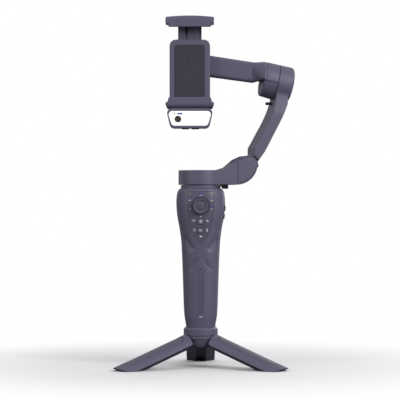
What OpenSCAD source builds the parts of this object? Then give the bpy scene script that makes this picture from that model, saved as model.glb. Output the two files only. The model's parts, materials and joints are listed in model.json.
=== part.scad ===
// Smartphone gimbal with a folding knee, on a three-legged mini tripod.
// Millimetres, +Z up, +X to the right and +Y away as one faces the keypad.
// Heights are above the floor; x and y start from the vertical pan axis.

/* [Grip] */
// Width of the grip at its bulge
grip_w = 45.8; // [43:0.1:50]
// Depth of the grip at its bulge, front to back
grip_d = 40; // [38.5:0.5:44]
// Height of the grip, from the tripod to the neck
grip_h = 129.3; // [124:0.1:145]
// Wall of the grip's shells
grip_wall = 2; // [1.6:0.1:2.4]
// Width of the charge strip in the grip's front
strip_w = 3.7; // [3:0.1:5]
// Length of the charge strip
strip_h = 42; // [34:0.5:46]

/* [Keypad] */
// Width of the keypad panel at its top
pad_w = 25.3; // [23:0.1:28]
// Height of the keypad panel
pad_h = 47.8; // [45:0.1:52]
// Distance of the keypad panel's top edge below the grip's top
pad_drop = 3.4; // [3:0.1:5]
// Radius of the joystick cap
stick_r = 6.6; // [6:0.1:6.9]
// Distance of the joystick's centre below the grip's top
stick_drop = 16.2; // [15.5:0.1:17]
// Width of the two front keys
key_w = 6.7; // [5:0.1:7.5]
// Height of the two front keys
key_h = 6.2; // [5:0.1:6.6]
// Travel of every key
key_travel = 0.5; // [0.3:0.05:0.7]

/* [Side controls and trigger] */
// Length of the zoom slider's thumb piece
zoom_l = 4.7; // [4:0.1:5.2]
// Travel of the zoom slider each way
zoom_travel = 1.5; // [1:0.1:1.8]
// Length of the power button
power_l = 4.6; // [4:0.1:5]
// Width of the slider and the button
side_key_w = 4; // [3:0.1:4.6]
// Width of the trigger
trigger_w = 14; // [11:0.5:15]
// Height of the trigger
trigger_h = 20; // [17:0.5:21]

/* [Neck and pan motor] */
// Radius of the neck ring
neck_r = 18.6; // [17.8:0.1:18.8]
// Height of the neck ring above the grip
neck_h = 3.2; // [2.6:0.1:4]
// Radius of the pan cup
cup_r = 19.7; // [19.2:0.1:21]
// Height of the pan cup
cup_h = 13.6; // [12.6:0.1:15]
// Radius of the three motors' shafts
shaft_r = 3; // [2.6:0.05:3.2]

/* [Lower arm and knee] */
// Angle by which the whole arm stands turned about the pan axis
arm_yaw = 9; // [5:0.5:13]
// Distance of the knee's axis from the pan axis
knee_x = 42.2; // [40.5:0.1:44]
// Height of the knee's axis above the foot of the pan cup
knee_rise = 17.5; // [16.8:0.1:18.5]
// Radius of the knee's ears
ear_r = 9.8; // [9.2:0.1:10.4]
// Radius of the curve under the knee
belly_r = 19.9; // [19.2:0.1:20.4]
// Depth of the arms, front to back
arm_d = 34.6; // [32:0.1:36]
// Depth of the tongue between the ears
tongue_d = 21.4; // [18:0.1:23]
// Radius of the knee pin
knee_pin_r = 3; // [2.4:0.1:3.6]

/* [Tilt motor] */
// Distance of the tilt motor's seam from the pan axis
tilt_x = 71.4; // [69:0.1:74]
// Slope of the tilt axis, down towards its outer end
tilt_drop = 11.6; // [9:0.1:14]
// Radius of the tilt motor
tilt_r = 17; // [16.2:0.1:17.2]
// Length of the tilt motor's head, outwards from the seam
head_l = 15; // [14:0.1:16.5]
// Length of the tilt cup, inwards from the seam
tilt_cup_l = 13; // [12:0.1:13.6]

/* [Roll motor and clamp] */
// Height of the roll axis above the foot of the pan cup
roll_rise = 113.4; // [110:0.1:118]
// Offset of the clamp's centre from the pan axis
clamp_x = -10.2; // [-12:0.1:-9]
// Radius of the roll motor
roll_r = 16.5; // [16:0.1:17.5]
// Distance between the two jaw pads
jaw_open = 71.5; // [68:0.1:76]
// Furthest that the jaws open beyond this distance
jaw_more = 16; // [10:0.5:16]
// Furthest that the jaws close from this distance
jaw_less = 13; // [8:0.5:13]
// Width of the jaws
jaw_w = 45.2; // [43:0.1:47]
// Depth of the space in front of the clamp's back for a phone
slot_d = 10.5; // [9:0.1:12]

/* [Light module] */
// Width of the light module at its top
light_w = 42.1; // [40:0.1:43]
// Height of the light module
light_h = 18.6; // [17:0.1:19.2]
// Depth of the light module
light_d = 15.5; // [14:0.1:17]
// Radius of the lens window
lens_r = 3; // [2.4:0.1:3.4]

/* [Tripod] */
// Height of the hub's underside above the floor
hub_lift = 19.1; // [18:0.1:20]
// Height of the hub
hub_h = 19; // [18:0.1:21]
// Radius of the hub's ring and of the three folded legs
hub_r = 16; // [15.4:0.1:16.6]
// Reach of each leg from the pan axis
leg_reach = 90.4; // [86:0.1:94]
// Slope of each opened leg below the level
leg_slope = 20.5; // [20:0.1:21]
// Distance of each leg's pin from the pan axis
leg_pin_x = 10; // [9.6:0.1:10.4]
// Radius of the leg pins
leg_pin_r = 1.5; // [1.2:0.1:1.7]

/* [Fits] */
// Radial gap of a shaft or pin that turns
run_gap = 0.05; // [0.03:0.01:0.09]
// Radial gap of a pin or ring that is held fast
snug_gap = 0.02; // [0.01:0.01:0.03]
// Gap between a key and its hole
key_gap = 0.25; // [0.2:0.05:0.4]
// Gap between housings that turn past each other
turn_gap = 0.25; // [0.2:0.05:0.35]

/* [Hidden] */

// Smooth round faces, and the coarser ones that blended shapes use
$fn = 64;
blend_fn = 32;
// One overrun for every cut
over = 1;

// Colours
body_c = "#5c5a6c";
dark_c = "#49465a";
panel_c = "#56536a";
metal_c = "#b9bac0";
brass_c = "#b08d4c";
copper_c = "#a8653c";
board_c = "#2f5a44";
rubber_c = "#3c3a46";
white_c = "#f4f4f4";
lens_c = "#2b2626";
blue_c = "#3c4690";

// Heights on the pan axis
grip_z = hub_lift + hub_h;
neck_z = grip_z + grip_h;
cup_z = neck_z + neck_h + turn_gap;
cup_top = cup_z + cup_h;
knee_z = cup_z + knee_rise;
roll_z = cup_z + roll_rise;
clamp_run = -clamp_x / cos(arm_yaw);
tilt_z = roll_z - (tilt_x + clamp_run) * tan(tilt_drop);

// Places of the legs and of the whole part, whose origin is the middle of its
// outline on the floor
leg_turns = [210, 330, 90];
leg_side = cos(30);
leg_front = sin(30);
nose_w_share = 0.3;
head_end_x = (tilt_x + head_l * cos(tilt_drop)) * cos(arm_yaw)
    + tilt_r * sin(tilt_drop) + tilt_r * sin(arm_yaw) * sin(arm_yaw);
legs_x = leg_reach * leg_side + hub_r * nose_w_share * leg_front;
legs_y = leg_reach * leg_front + hub_r / 2 * leg_side;
pan_x = (legs_x - head_end_x) / 2;
pan_y = (legs_y - leg_reach) / 2;

// A number raised to a power with its sign kept
function signed_pow(v, p) = sign(v) * pow(abs(v), p);

// Slope and smooth value of a table of rows at a share of the first column
function row_of(rows, s, i = 0) =
    i >= len(rows) - 2 || s <= rows[i + 1][0] ? i : row_of(rows, s, i + 1);
function slope_at(rows, i, k) =
    let (a = max(i - 1, 0), b = min(i + 1, len(rows) - 1))
    (rows[b][k] - rows[a][k]) / (rows[b][0] - rows[a][0]);
function smooth_at(rows, s, k) =
    let (
        i = row_of(rows, s),
        h = rows[i + 1][0] - rows[i][0],
        t = (s - rows[i][0]) / h
    )
    (2 * pow(t, 3) - 3 * pow(t, 2) + 1) * rows[i][k]
    + (pow(t, 3) - 2 * pow(t, 2) + t) * h * slope_at(rows, i, k)
    + (3 * pow(t, 2) - 2 * pow(t, 3)) * rows[i + 1][k]
    + (pow(t, 3) - pow(t, 2)) * h * slope_at(rows, i + 1, k);

// Points of an arc about a centre, from one angle to another
function arc(c, r, from, to, n = 8) =
    [for (k = [0:n]) c + r * [cos(from + (to - from) * k / n), sin(from + (to - from) * k / n)]];

// A list of points mirrored in x, in reverse order
function mirrored(pts) = [for (k = [len(pts) - 1:-1:0]) [-pts[k][0], pts[k][1]]];

// Closed skin over rings of equal length, whose caps are the given faces
module skin(rings, caps) {
    m = len(rings[0]);
    polyhedron(
        points = [for (r = rings) each r],
        faces = concat(
            [for (i = [0:len(rings) - 2]) for (j = [0:m - 1])
                let (a = i * m + j, b = i * m + (j + 1) % m)
                each [[a, a + m, b + m], [a, b + m, b]]],
            caps
        )
    );
}

// The grip's rounded outline: height share, width share and depth share
grip_shares = [
    [0, 0.600, 0.68], [0.017, 0.609, 0.69], [0.046, 0.638, 0.715],
    [0.075, 0.664, 0.735], [0.133, 0.690, 0.75], [0.307, 0.723, 0.78],
    [0.510, 0.764, 0.82], [0.626, 0.803, 0.86], [0.713, 0.867, 0.92],
    [0.800, 0.958, 0.98], [0.887, 1.000, 1.00], [0.946, 0.985, 0.99],
    [0.974, 0.952, 0.975], [0.996, 0.878, 0.95], [1.000, 0.820, 0.93]
];
// Heights at which the grip's skin has a ring, the longer stretches divided
long_share = 0.06;
grip_levels = [
    for (i = [0:len(grip_shares) - 2])
        let (
            a = grip_shares[i][0],
            b = grip_shares[i + 1][0],
            n = max(1, round((b - a) / long_share))
        )
        for (k = [0:n - 1]) a + (b - a) * k / n,
    1
];
// Roundness of the grip's section, 2 for an ellipse and more for a squarer one
grip_squareness = 2.4;
// Half of the angle that the rear shell wraps past the grip's sides
seam_angle = 33.5;
// Angle left open between the shells at each seam
seam_slit = 0.35;

function grip_half_w(s) = grip_w / 2 * smooth_at(grip_shares, s, 1);
function grip_half_d(s) = grip_d / 2 * smooth_at(grip_shares, s, 2);
function grip_point(s, inset, a) = [
    (grip_half_w(s) - inset) * signed_pow(cos(a), 2 / grip_squareness),
    (grip_half_d(s) - inset) * signed_pow(sin(a), 2 / grip_squareness),
    grip_z + grip_h * s
];
// Height share of a place that lies a distance below the grip's top
function grip_share(drop) = 1 - drop / grip_h;

// The whole grip as one solid, drawn in by an inset
grip_steps = 40;
module grip_solid(inset) {
    rings = [for (s = grip_levels) [for (j = [0:grip_steps - 1])
        grip_point(s, inset, 360 * j / grip_steps)]];
    last = (len(rings) - 1) * grip_steps;
    skin(rings, [
        [for (j = [0:grip_steps - 1]) j],
        [for (j = [grip_steps - 1:-1:0]) last + j]
    ]);
}

// One shell of the grip: its wall between two angles, skinned up the grip
module grip_shell(from, to, steps) {
    rings = [for (s = grip_levels) [
        for (k = [0:steps]) grip_point(s, 0, from + (to - from) * k / steps),
        for (k = [steps:-1:0]) grip_point(s, grip_wall, from + (to - from) * k / steps)
    ]];
    m = 2 * (steps + 1);
    last = (len(rings) - 1) * m;
    skin(rings, [
        for (k = [0:steps - 1]) each [
            [k, k + 1, m - 2 - k],
            [k, m - 2 - k, m - 1 - k],
            [last + k, last + m - 2 - k, last + k + 1],
            [last + k, last + m - 1 - k, last + m - 2 - k]
        ]
    ]);
}

// Everything but the tripod's own frame is placed from the pan axis
module placed() {
    translate([pan_x, pan_y, 0]) children();
}

// A prism along y, from an outline in x and z, between two y
module along_y(from, to) {
    translate([0, to, 0]) rotate([90, 0, 0]) linear_extrude(to - from) children();
}

// A cylinder along y, between two y
module rod_y(r, from, to) {
    translate([0, to, 0]) rotate([90, 0, 0]) cylinder(h = to - from, r = r);
}

// Front parts of the grip reach from the axis to past its front face
front_y = -grip_d / 2 - 2 * over;

// Keypad panel outline: share of its half width and share of its height
pad_shares = [[1, 0], [0.9, 0.39], [0.727, 0.713], [0.51, 0.854], [0.3, 0.96], [0.05, 1]];
pad_recess = 1;
pad_sunk = 0.2;
pad_gap = 0.12;
pad_top = neck_z - pad_drop;
stick_z = neck_z - stick_drop;
function pad_points(grow) =
    let (half = [for (p = pad_shares)
        [p[0] * (pad_w / 2 + grow), pad_top + grow - p[1] * (pad_h + 2 * grow)]])
    concat([for (k = [len(half) - 1:-1:0]) half[k]], [for (p = half) [-p[0], p[1]]]);

// Places of the front keys, as drops below the joystick's centre
record_drop = 14.2;
mode_drop = 23.2;
record_z = stick_z - record_drop;
mode_z = stick_z - mode_drop;
// How far the keys stand out of the panel, and reach into the grip
key_proud = 0.35;
key_root = 14;
key_lip = 0.6;
// The lip behind a key ends short of the shell's inner face
lip_share = 0.98;
function key_lip_y(z) =
    lip_share * (grip_half_d(grip_share(neck_z - z + key_h / 2 + key_lip)) - grip_wall);
// Key outlines: the record key points up and the mode key points down
record_shares = [[-1, -1], [1, -1], [1, 0.35], [0, 1], [-1, 0.35]];
mode_shares = [[-1, 1], [-1, -0.35], [0, -1], [1, -0.35], [1, 1]];
function key_points(shares, grow) =
    [for (p = shares) [p[0] * (key_w / 2 + grow), p[1] * (key_h / 2 + grow)]];

// Joystick: its pivot lies this deep under the panel's front
stick_depth = 4.5;
stick_y = -grip_half_d(grip_share(stick_drop)) + stick_depth;
stick_hole = stick_r + 1.5;
skirt_r = stick_r + 1.4;
skirt_wall = 0.7;
yoke_w = 8.6;
yoke_h = 10;
yoke_t = 2.4;
yoke_wall = 1.7;
yoke_pin_r = 1;
ear_t = 1.3;
base_w = 15;
base_t = 1.2;
board_t = 1.2;
base_y = stick_y + stick_depth;

// Mode lights: share of the panel's half width, and drop from its top
light_dots = [[0, 0.05], [-0.86, 0.135], [-0.84, 0.3], [0.88, 0.135], [0.84, 0.3]];
dot_r = 0.8;
charge_dot_r = 0.55;
charge_pitch = 4.35;
charge_first = 2.7;
strip_foot = 12.5;
strip_sunk = 0.3;
strip_recess = 0.9;

// Carved X on the grip's front: its middle below the panel's tip, and where its
// four arms end, as shares of the panel's half width and of the carved height
carve_h = 15;
carve_w = 3.6;
carve_deep = 0.45;
carve_z = pad_top - pad_h - carve_h * 0.72;
carve_ends = [[-0.92, 0.95], [0.92, 0.95], [-0.8, -1], [0.8, -1]];

module keypad_cut(grow) {
    along_y(front_y, -grip_d / 4) polygon(pad_points(grow));
}

module key_cut(shares, z, grow, to) {
    translate([0, 0, z]) along_y(front_y, to) polygon(key_points(shares, grow));
}

module strip_cut(grow) {
    w = strip_w / 2 + grow;
    z0 = grip_z + strip_foot - grow;
    z1 = z0 + strip_h + 2 * grow;
    along_y(front_y, -grip_d / 4)
        polygon([[-w, z0], [w, z0], [w, z1 - w], [0, z1], [-w, z1 - w]]);
}

module dots_cut(r) {
    for (p = light_dots)
        translate([p[0] * pad_w / 2, 0, pad_top - p[1] * pad_h]) rod_y(r, front_y, -grip_d / 4);
}

module charge_dots_cut(r) {
    for (k = [0:3])
        translate([0, 0, grip_z + strip_foot + charge_first + k * charge_pitch])
            rod_y(r, front_y, -grip_d / 4);
}

// The four arms of the carved X, each a bar from the middle to its end
module carved_x() {
    for (e = carve_ends) {
        end_x = e[0] * pad_w / 2;
        end_z = e[1] * carve_h;
        run = norm([end_x, end_z]);
        across = carve_w / 2 / run * [end_z, -end_x];
        start = 0.28 * [end_x, end_z];
        translate([0, 0, carve_z]) along_y(front_y, -grip_d / 4)
            polygon([
                start - across, [end_x, end_z] - across,
                [end_x, end_z] + across, start + across
            ]);
    }
}

module front_shell() {
    color(body_c) placed() difference() {
        grip_shell(180 + seam_angle + seam_slit, 360 - seam_angle - seam_slit, 18);
        difference() {
            union() {
                keypad_cut(pad_gap);
                strip_cut(pad_gap);
            }
            grip_solid(pad_recess);
        }
        difference() {
            carved_x();
            grip_solid(carve_deep);
        }
        translate([0, 0, stick_z]) rod_y(stick_hole, front_y, 0);
        key_cut(record_shares, record_z, key_gap, 0);
        key_cut(mode_shares, mode_z, key_gap, 0);
        dots_cut(dot_r + snug_gap);
        charge_dots_cut(charge_dot_r + snug_gap);
    }
}

module keypad_panel() {
    color(panel_c) placed() difference() {
        keypad_cut(0);
        difference() {
            translate([0, 0, neck_z]) cube([grip_w * 2, grip_d * 2, grip_h * 2], center = true);
            grip_solid(pad_sunk);
        }
        grip_solid(pad_recess - run_gap);
        translate([0, 0, stick_z]) rod_y(stick_hole, front_y, 0);
        key_cut(record_shares, record_z, key_gap, 0);
        key_cut(mode_shares, mode_z, key_gap, 0);
        dots_cut(dot_r + snug_gap);
    }
}

// What a cut leaves between two insets of the grip's skin
module skin_slice(outer, inner) {
    difference() {
        intersection() {
            children();
            grip_solid(outer);
        }
        grip_solid(inner);
    }
}

module mode_lights() {
    color(blue_c) placed() skin_slice(pad_sunk / 2, grip_wall) dots_cut(dot_r);
}

module charge_strip() {
    color(dark_c) placed() difference() {
        skin_slice(strip_sunk, pad_recess - run_gap) strip_cut(0);
        charge_dots_cut(charge_dot_r + snug_gap);
    }
}

module charge_lights() {
    color(blue_c) placed() skin_slice(strip_sunk / 2, grip_wall) charge_dots_cut(charge_dot_r);
}

// Side controls: heights below the grip's top, and their bezel
zoom_drop = 18.7;
power_drop = 26.2;
zoom_z = neck_z - zoom_drop;
power_z = neck_z - power_drop;
side_y = -4.5;
bezel_w = 7;
bezel_h = 18;
bezel_z = (zoom_z + power_z) / 2;
bezel_deep = 0.9;
side_proud = 0.9;
side_lip = 0.7;
side_lip_t = 1.2;
side_lip_x = grip_half_w(grip_share(power_drop + power_l / 2)) - grip_wall - over - key_gap;
side_root = side_lip_x - side_lip_t;

// A bar along +x whose section is a width in y and a height in z
module side_bar(w, h, z, from, to) {
    translate([from, side_y - w / 2, z - h / 2]) cube([to - from, w, h]);
}

// Trigger: its pivot near the top, and the window in the rear shell
trigger_top = 12;
trigger_z = neck_z - trigger_top;
trigger_pin_r = 1;
trigger_y = grip_d / 2 - 4.6;
trigger_gap = 0.35;
lug_t = 2;
trigger_proud = 2.6;

// Usb port on the left side, below the bulge
usb_drop = 52;
usb_w = 3.4;
usb_l = 9.2;
usb_deep = 6.5;
usb_rim = 0.8;

module usb_outline(grow) {
    along = (usb_l - usb_w) / 2;
    for (k = [-1, 1]) translate([0, k * along]) circle(r = usb_w / 2 + grow);
    square([usb_w + 2 * grow, 2 * along], center = true);
}

// Shell screws: x and the height share at which each bites into its boss
screw_spots = [[0, 0.023], [-0.5, 0.7], [0.5, 0.7]];
screw_r = 1;
screw_head_r = 1.9;
boss_r = 2.6;
function screw_x(p) = p[0] * grip_w / 2;
function screw_z(p) = grip_z + grip_h * p[1];
function screw_back(p) = grip_half_d(p[1]) * 0.76;
screw_l = 5;
screw_head_t = 1.4;

// Floor of the grip with the brass insert
grip_floor = 6;
// How far the floor reaches forward of the pan axis, behind the front shell
rear_reach = 6.5;
insert_r = 5;
thread_r = 3.175;

module rear_shell() {
    color(body_c) placed() difference() {
        union() {
            grip_shell(-seam_angle, 180 + seam_angle, 26);
            intersection() {
                grip_solid(grip_wall / 2);
                union() {
                    translate([-grip_w / 2, -rear_reach, grip_z])
                        cube([grip_w, rear_reach + grip_d, grip_floor]);
                    for (p = screw_spots) translate([screw_x(p), 0, screw_z(p)])
                        rod_y(boss_r, over, grip_d / 2);
                    for (k = [-1, 1])
                        translate([k * (trigger_w / 2 + trigger_gap + lug_t / 2), 0, trigger_z])
                            translate([-lug_t / 2, trigger_y - lug_t, -lug_t])
                                cube([lug_t, grip_d, 2 * lug_t]);
                }
            }
        }
        difference() {
            side_bar(bezel_w + 2 * pad_gap, bezel_h + 2 * pad_gap, bezel_z, 0, grip_w);
            grip_solid(bezel_deep);
        }
        side_bar(side_key_w + 2 * key_gap, zoom_l + 2 * (zoom_travel + key_gap), zoom_z, 0, grip_w);
        side_bar(side_key_w + 2 * key_gap, power_l + 2 * key_gap, power_z, 0, grip_w);
        translate([-trigger_w / 2 - trigger_gap, 0, trigger_z + 2 * trigger_pin_r + trigger_gap])
            mirror([0, 0, 1])
                cube([trigger_w + 2 * trigger_gap, grip_d, trigger_h + 2 * trigger_gap]);
        translate([0, trigger_y, trigger_z]) rotate([0, 90, 0])
            cylinder(h = 2 * trigger_w, r = trigger_pin_r + run_gap, center = true);
        translate([-grip_w, 0, neck_z - usb_drop]) rotate([90, 0, 90])
            linear_extrude(grip_w) usb_outline(snug_gap + usb_rim);
        for (p = screw_spots) translate([screw_x(p), 0, screw_z(p)]) {
            rod_y(screw_r + snug_gap, 0, grip_d);
            rod_y(screw_head_r + key_gap, screw_back(p), grip_d);
        }
        translate([0, 0, grip_z - over]) cylinder(h = grip_floor + 2 * over, r = insert_r);
    }
}

module side_bezel() {
    color(dark_c) placed() difference() {
        skin_slice(pad_sunk, bezel_deep - run_gap)
            side_bar(bezel_w, bezel_h, bezel_z, grip_w / 4, grip_w);
        side_bar(side_key_w + 2 * key_gap, zoom_l + 2 * (zoom_travel + key_gap), zoom_z, 0, grip_w);
        side_bar(side_key_w + 2 * key_gap, power_l + 2 * key_gap, power_z, 0, grip_w);
    }
}

module zoom_slider() {
    color(body_c) placed() {
        intersection() {
            grip_solid(-side_proud);
            side_bar(side_key_w, zoom_l, zoom_z, side_root, grip_w);
        }
        side_bar(side_key_w + 2 * side_lip, zoom_l + zoom_travel, zoom_z, side_root, side_lip_x);
    }
}

module power_button() {
    color(body_c) placed() {
        intersection() {
            grip_solid(-side_proud);
            side_bar(side_key_w, power_l, power_z, side_root, grip_w);
        }
        side_bar(side_key_w + 2 * side_lip, power_l, power_z, side_root, side_lip_x);
    }
}

// Trigger profile in y and z about its pivot: shares of its height, and how far
// each point stands out of the pivot's plane in units of the trigger's depth
trigger_d = 7.2;
trigger_shares = [
    [0.62, 0.06], [0.72, 0], [0.86, -0.3], [0.9, -0.55], [1.12, -0.86],
    [0.9, -0.92], [0.2, -0.86], [0.16, -0.3], [-0.16, 0]
];
module trigger() {
    color(dark_c) placed() translate([0, trigger_y, trigger_z]) rotate([0, 90, 0]) {
        rotate([0, 0, 90]) translate([0, 0, -trigger_w / 2]) linear_extrude(trigger_w)
            polygon([for (p = trigger_shares) [p[0] * trigger_d, -p[1] * -trigger_h * 0.98]]);
        cylinder(h = trigger_w + 2 * (trigger_gap + lug_t), r = trigger_pin_r, center = true);
    }
}

module usb_port() {
    color(metal_c) placed() translate([-grip_half_w(grip_share(usb_drop)) + pad_sunk, 0,
        neck_z - usb_drop]) rotate([90, 0, 90]) linear_extrude(usb_deep) difference() {
            usb_outline(usb_rim);
            usb_outline(0);
        }
}

module shell_screws() {
    color(metal_c) placed() for (p = screw_spots)
        translate([screw_x(p), 0, screw_z(p)]) {
            rod_y(screw_r, screw_back(p) - screw_l, screw_back(p));
            difference() {
                rod_y(screw_head_r, screw_back(p), screw_back(p) + screw_head_t);
                translate([0, screw_back(p) + screw_head_t / 2, 0])
                    rotate([-90, 0, 0]) cylinder(h = screw_head_t, r = screw_r * 0.8, $fn = 6);
            }
        }
}

module thread_insert() {
    color(brass_c) placed() translate([0, 0, grip_z]) difference() {
        cylinder(h = grip_floor + over, r = insert_r - snug_gap);
        translate([0, 0, -over]) cylinder(h = grip_floor + 3 * over, r = thread_r);
    }
}

// Battery cell on the insert, under the keypad's parts
cell_r = 9.1;
cell_h_share = 0.503;
cell_h = cell_h_share * grip_h;
cell_nib_r = 2.6;
cell_nib_h = 1.2;
cell_z = grip_z + grip_floor + over;
module battery_cell() {
    color("#4a7ab0") placed() translate([0, 0, cell_z]) {
        cylinder(h = cell_h, r = cell_r);
        translate([0, 0, cell_h]) cylinder(h = cell_nib_h, r = cell_nib_r);
    }
}

// Main board behind the keypad, with a switch under each key
board_w = 20;
board_top = stick_z + base_w / 2 + over;
board_foot = cell_z + cell_h + cell_nib_h;
switch_w = 5;
switch_y = -key_root + key_travel + run_gap;
module main_board() {
    color(board_c) placed() {
        translate([-board_w / 2, base_y, board_foot])
            cube([board_w, board_t, board_top - board_foot]);
        for (z = [record_z, mode_z])
            translate([-switch_w / 2, switch_y, z - switch_w / 2])
                cube([switch_w, base_y - switch_y, switch_w]);
    }
}

module joystick_base() {
    color(dark_c) placed() translate([0, stick_y, stick_z]) difference() {
        union() {
            translate([-base_w / 2, stick_depth - base_t, -base_w / 2])
                cube([base_w, base_t, base_w]);
            for (k = [-1, 1])
                translate([k * (yoke_w / 2 + key_gap + ear_t / 2) - ear_t / 2,
                    -yoke_wall, -yoke_wall - run_gap])
                    cube([ear_t, stick_depth + yoke_wall - base_t, 2 * (yoke_wall + run_gap)]);
        }
        rotate([0, 90, 0])
            cylinder(h = base_w, r = yoke_pin_r + run_gap, center = true);
    }
}

module joystick_yoke() {
    pin_l = yoke_w + 2 * (key_gap + ear_t);
    color(metal_c) placed() translate([0, stick_y, stick_z]) difference() {
        union() {
            cube([yoke_w, yoke_t, yoke_h], center = true);
            rotate([0, 90, 0]) cylinder(h = pin_l, r = yoke_pin_r, center = true);
        }
        cube([yoke_w - 2 * yoke_wall, yoke_t + 2 * over, yoke_h - 2 * yoke_wall], center = true);
        cylinder(h = yoke_h + 2 * over, r = yoke_pin_r + run_gap, center = true);
    }
}

post_r = 1.5;
post_tail = 2.6;
module joystick_stick() {
    color(metal_c) placed() translate([0, stick_y, stick_z]) {
        cylinder(h = yoke_h, r = yoke_pin_r, center = true);
        rod_y(post_r, -stick_depth - cap_lift - 2 * cap_edge + run_gap, post_tail);
    }
}

// Joystick cap: a dished disc with a small dome in its middle, over a skirt that
// is part of a sphere about the pivot
cap_h = 2.2;
cap_lift = 0.8;
cap_edge = 0.5;
dome_r = 3.7;
dish = 0.7;
module joystick_cap() {
    foot = stick_depth + cap_lift;
    top = foot + cap_h;
    skirt_low = 1.6;
    low_angle = asin(skirt_low / skirt_r);
    high_angle = asin(foot / skirt_r);
    color(rubber_c) placed() translate([0, stick_y, stick_z]) rotate([90, 0, 0])
        rotate_extrude() polygon(concat(
            [[post_r + snug_gap, foot], [(skirt_r - skirt_wall) * cos(high_angle), foot]],
            arc([0, 0], skirt_r - skirt_wall, high_angle, low_angle),
            arc([0, 0], skirt_r, low_angle, high_angle),
            [
                [stick_r, foot], [stick_r, top - cap_edge], [stick_r - cap_edge, top],
                [stick_r - 3 * cap_edge, top], [dome_r, top - dish],
                [dome_r - cap_edge, top - dish / 2], [0, top + dish / 3],
                [0, foot + 2 * cap_edge], [post_r + snug_gap, foot + 2 * cap_edge]
            ]
        ));
}

module front_key(shares, z) {
    color(body_c) placed() {
        intersection() {
            grip_solid(-key_proud);
            key_cut(shares, z, 0, -key_root);
        }
        translate([0, 0, z]) along_y(-key_lip_y(z), -key_root)
            polygon(key_points(shares, key_lip));
    }
}

module record_key() { front_key(record_shares, record_z); }
module mode_key() { front_key(mode_shares, mode_z); }

// Neck ring: a flange over a plug, with the bearing tube up its middle
plug_r = 16.2;
plug_h = 5;
tube_r = 7.6;
bearing_r = 6;
tube_up = 8;
bearing_h = 3;
neck_lip = 0.8;
tube_z = neck_z - plug_h;
tube_top = neck_z + neck_h + tube_up;
module neck_ring() {
    color(body_c) placed() difference() {
        union() {
            translate([0, 0, neck_z]) rotate_extrude() polygon([
                [0, 0], [neck_r, 0], [neck_r, neck_h - neck_lip],
                [neck_r - neck_lip, neck_h], [0, neck_h]
            ]);
            translate([0, 0, tube_z]) cylinder(h = plug_h + over / 2, r = plug_r);
            translate([0, 0, tube_z]) cylinder(h = tube_top - tube_z, r = tube_r);
        }
        translate([0, 0, tube_z - over])
            cylinder(h = tube_top - tube_z + 2 * over, r = bearing_r + snug_gap);
    }
}

module ring_z(outer, inner, z, h) {
    translate([0, 0, z]) difference() {
        cylinder(h = h, r = outer);
        translate([0, 0, -over]) cylinder(h = h + 2 * over, r = inner);
    }
}

stator_h = 6;
stator_r = 12.6;
magnet_r = 15.2;
magnet_in = 13.2;
stator_z = neck_z + neck_h + over;
module pan_stator() {
    color(copper_c) placed() ring_z(stator_r, tube_r + snug_gap, stator_z, stator_h);
}

module pan_bearings() {
    color(metal_c) placed() {
        ring_z(bearing_r, shaft_r + run_gap, tube_z, bearing_h);
        ring_z(bearing_r, shaft_r + run_gap, tube_top - bearing_h, bearing_h);
    }
}

// Roof of the cup, and the bell under it that carries the magnets
cup_wall = 3;
bell_t = 1.6;
roof_z = cup_top - cup_wall;
bell_z = roof_z - bell_t;
module pan_rotor() {
    color(metal_c) placed() {
        translate([0, 0, tube_z]) cylinder(h = roof_z - tube_z + over - snug_gap, r = shaft_r);
        translate([0, 0, bell_z]) cylinder(h = bell_t, r = magnet_r);
        ring_z(magnet_r, magnet_in, stator_z, bell_z - stator_z + bell_t / 2);
    }
}

// The arm's plane, turned about the pan axis
module arm_side() {
    placed() rotate([0, 0, arm_yaw]) children();
}

knee = [knee_x, knee_z];
belly_x = knee_x - 10.8;
belly = [belly_x, cup_z + belly_r];
ear_crest = [
    [-0.49, 0.9], [-0.96, 0.66], [-1.42, 0.28], [-1.87, -0.11], [-2.57, -0.33], [-3.08, -0.4]
];
// Outline of the knee's ears: under the belly, round the knee and down the crest
function ear_points(inset) = concat(
    arc(belly, belly_r - inset, -90, -12),
    arc(knee, ear_r - inset, -4, 108),
    [for (k = [1:len(ear_crest) - 2]) knee + ear_r * ear_crest[k] - inset * [0.4, 1]]
);
cap_sunk = 0.8;
cap_r = 15.5;
// Latch block on the cup's left end, with a notch for the folded arm's stop
latch_out = 1.4;
latch_w = 17;
latch_notch = 4.4;
// Slot between the ears, round the tongue
slot_w = tongue_d + 2 * turn_gap;
tongue_r = 8.6;
slot_r = tongue_r + 0.7;
slot_side = tongue_r + turn_gap;
cover_t = 1.5;
cover_inset = 1.2;
cover_x = knee_x - 10.3;

// The slot runs round the pin, upwards along the arm as it stands and as it
// folds, and outwards
module ear_slot() {
    along_y(-slot_w / 2, slot_w / 2) translate(knee) {
        circle(r = slot_r);
        for (lean = [arm_lean, arm_lean - fold_angle, 90])
            rotate(-lean) translate([-slot_side, 0]) square([2 * slot_side, 3 * slot_r]);
    }
}

// How the upper arm leans, and how far the knee folds with the head as shown
arm_lean = 27.5;
fold_angle = 32;

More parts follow.
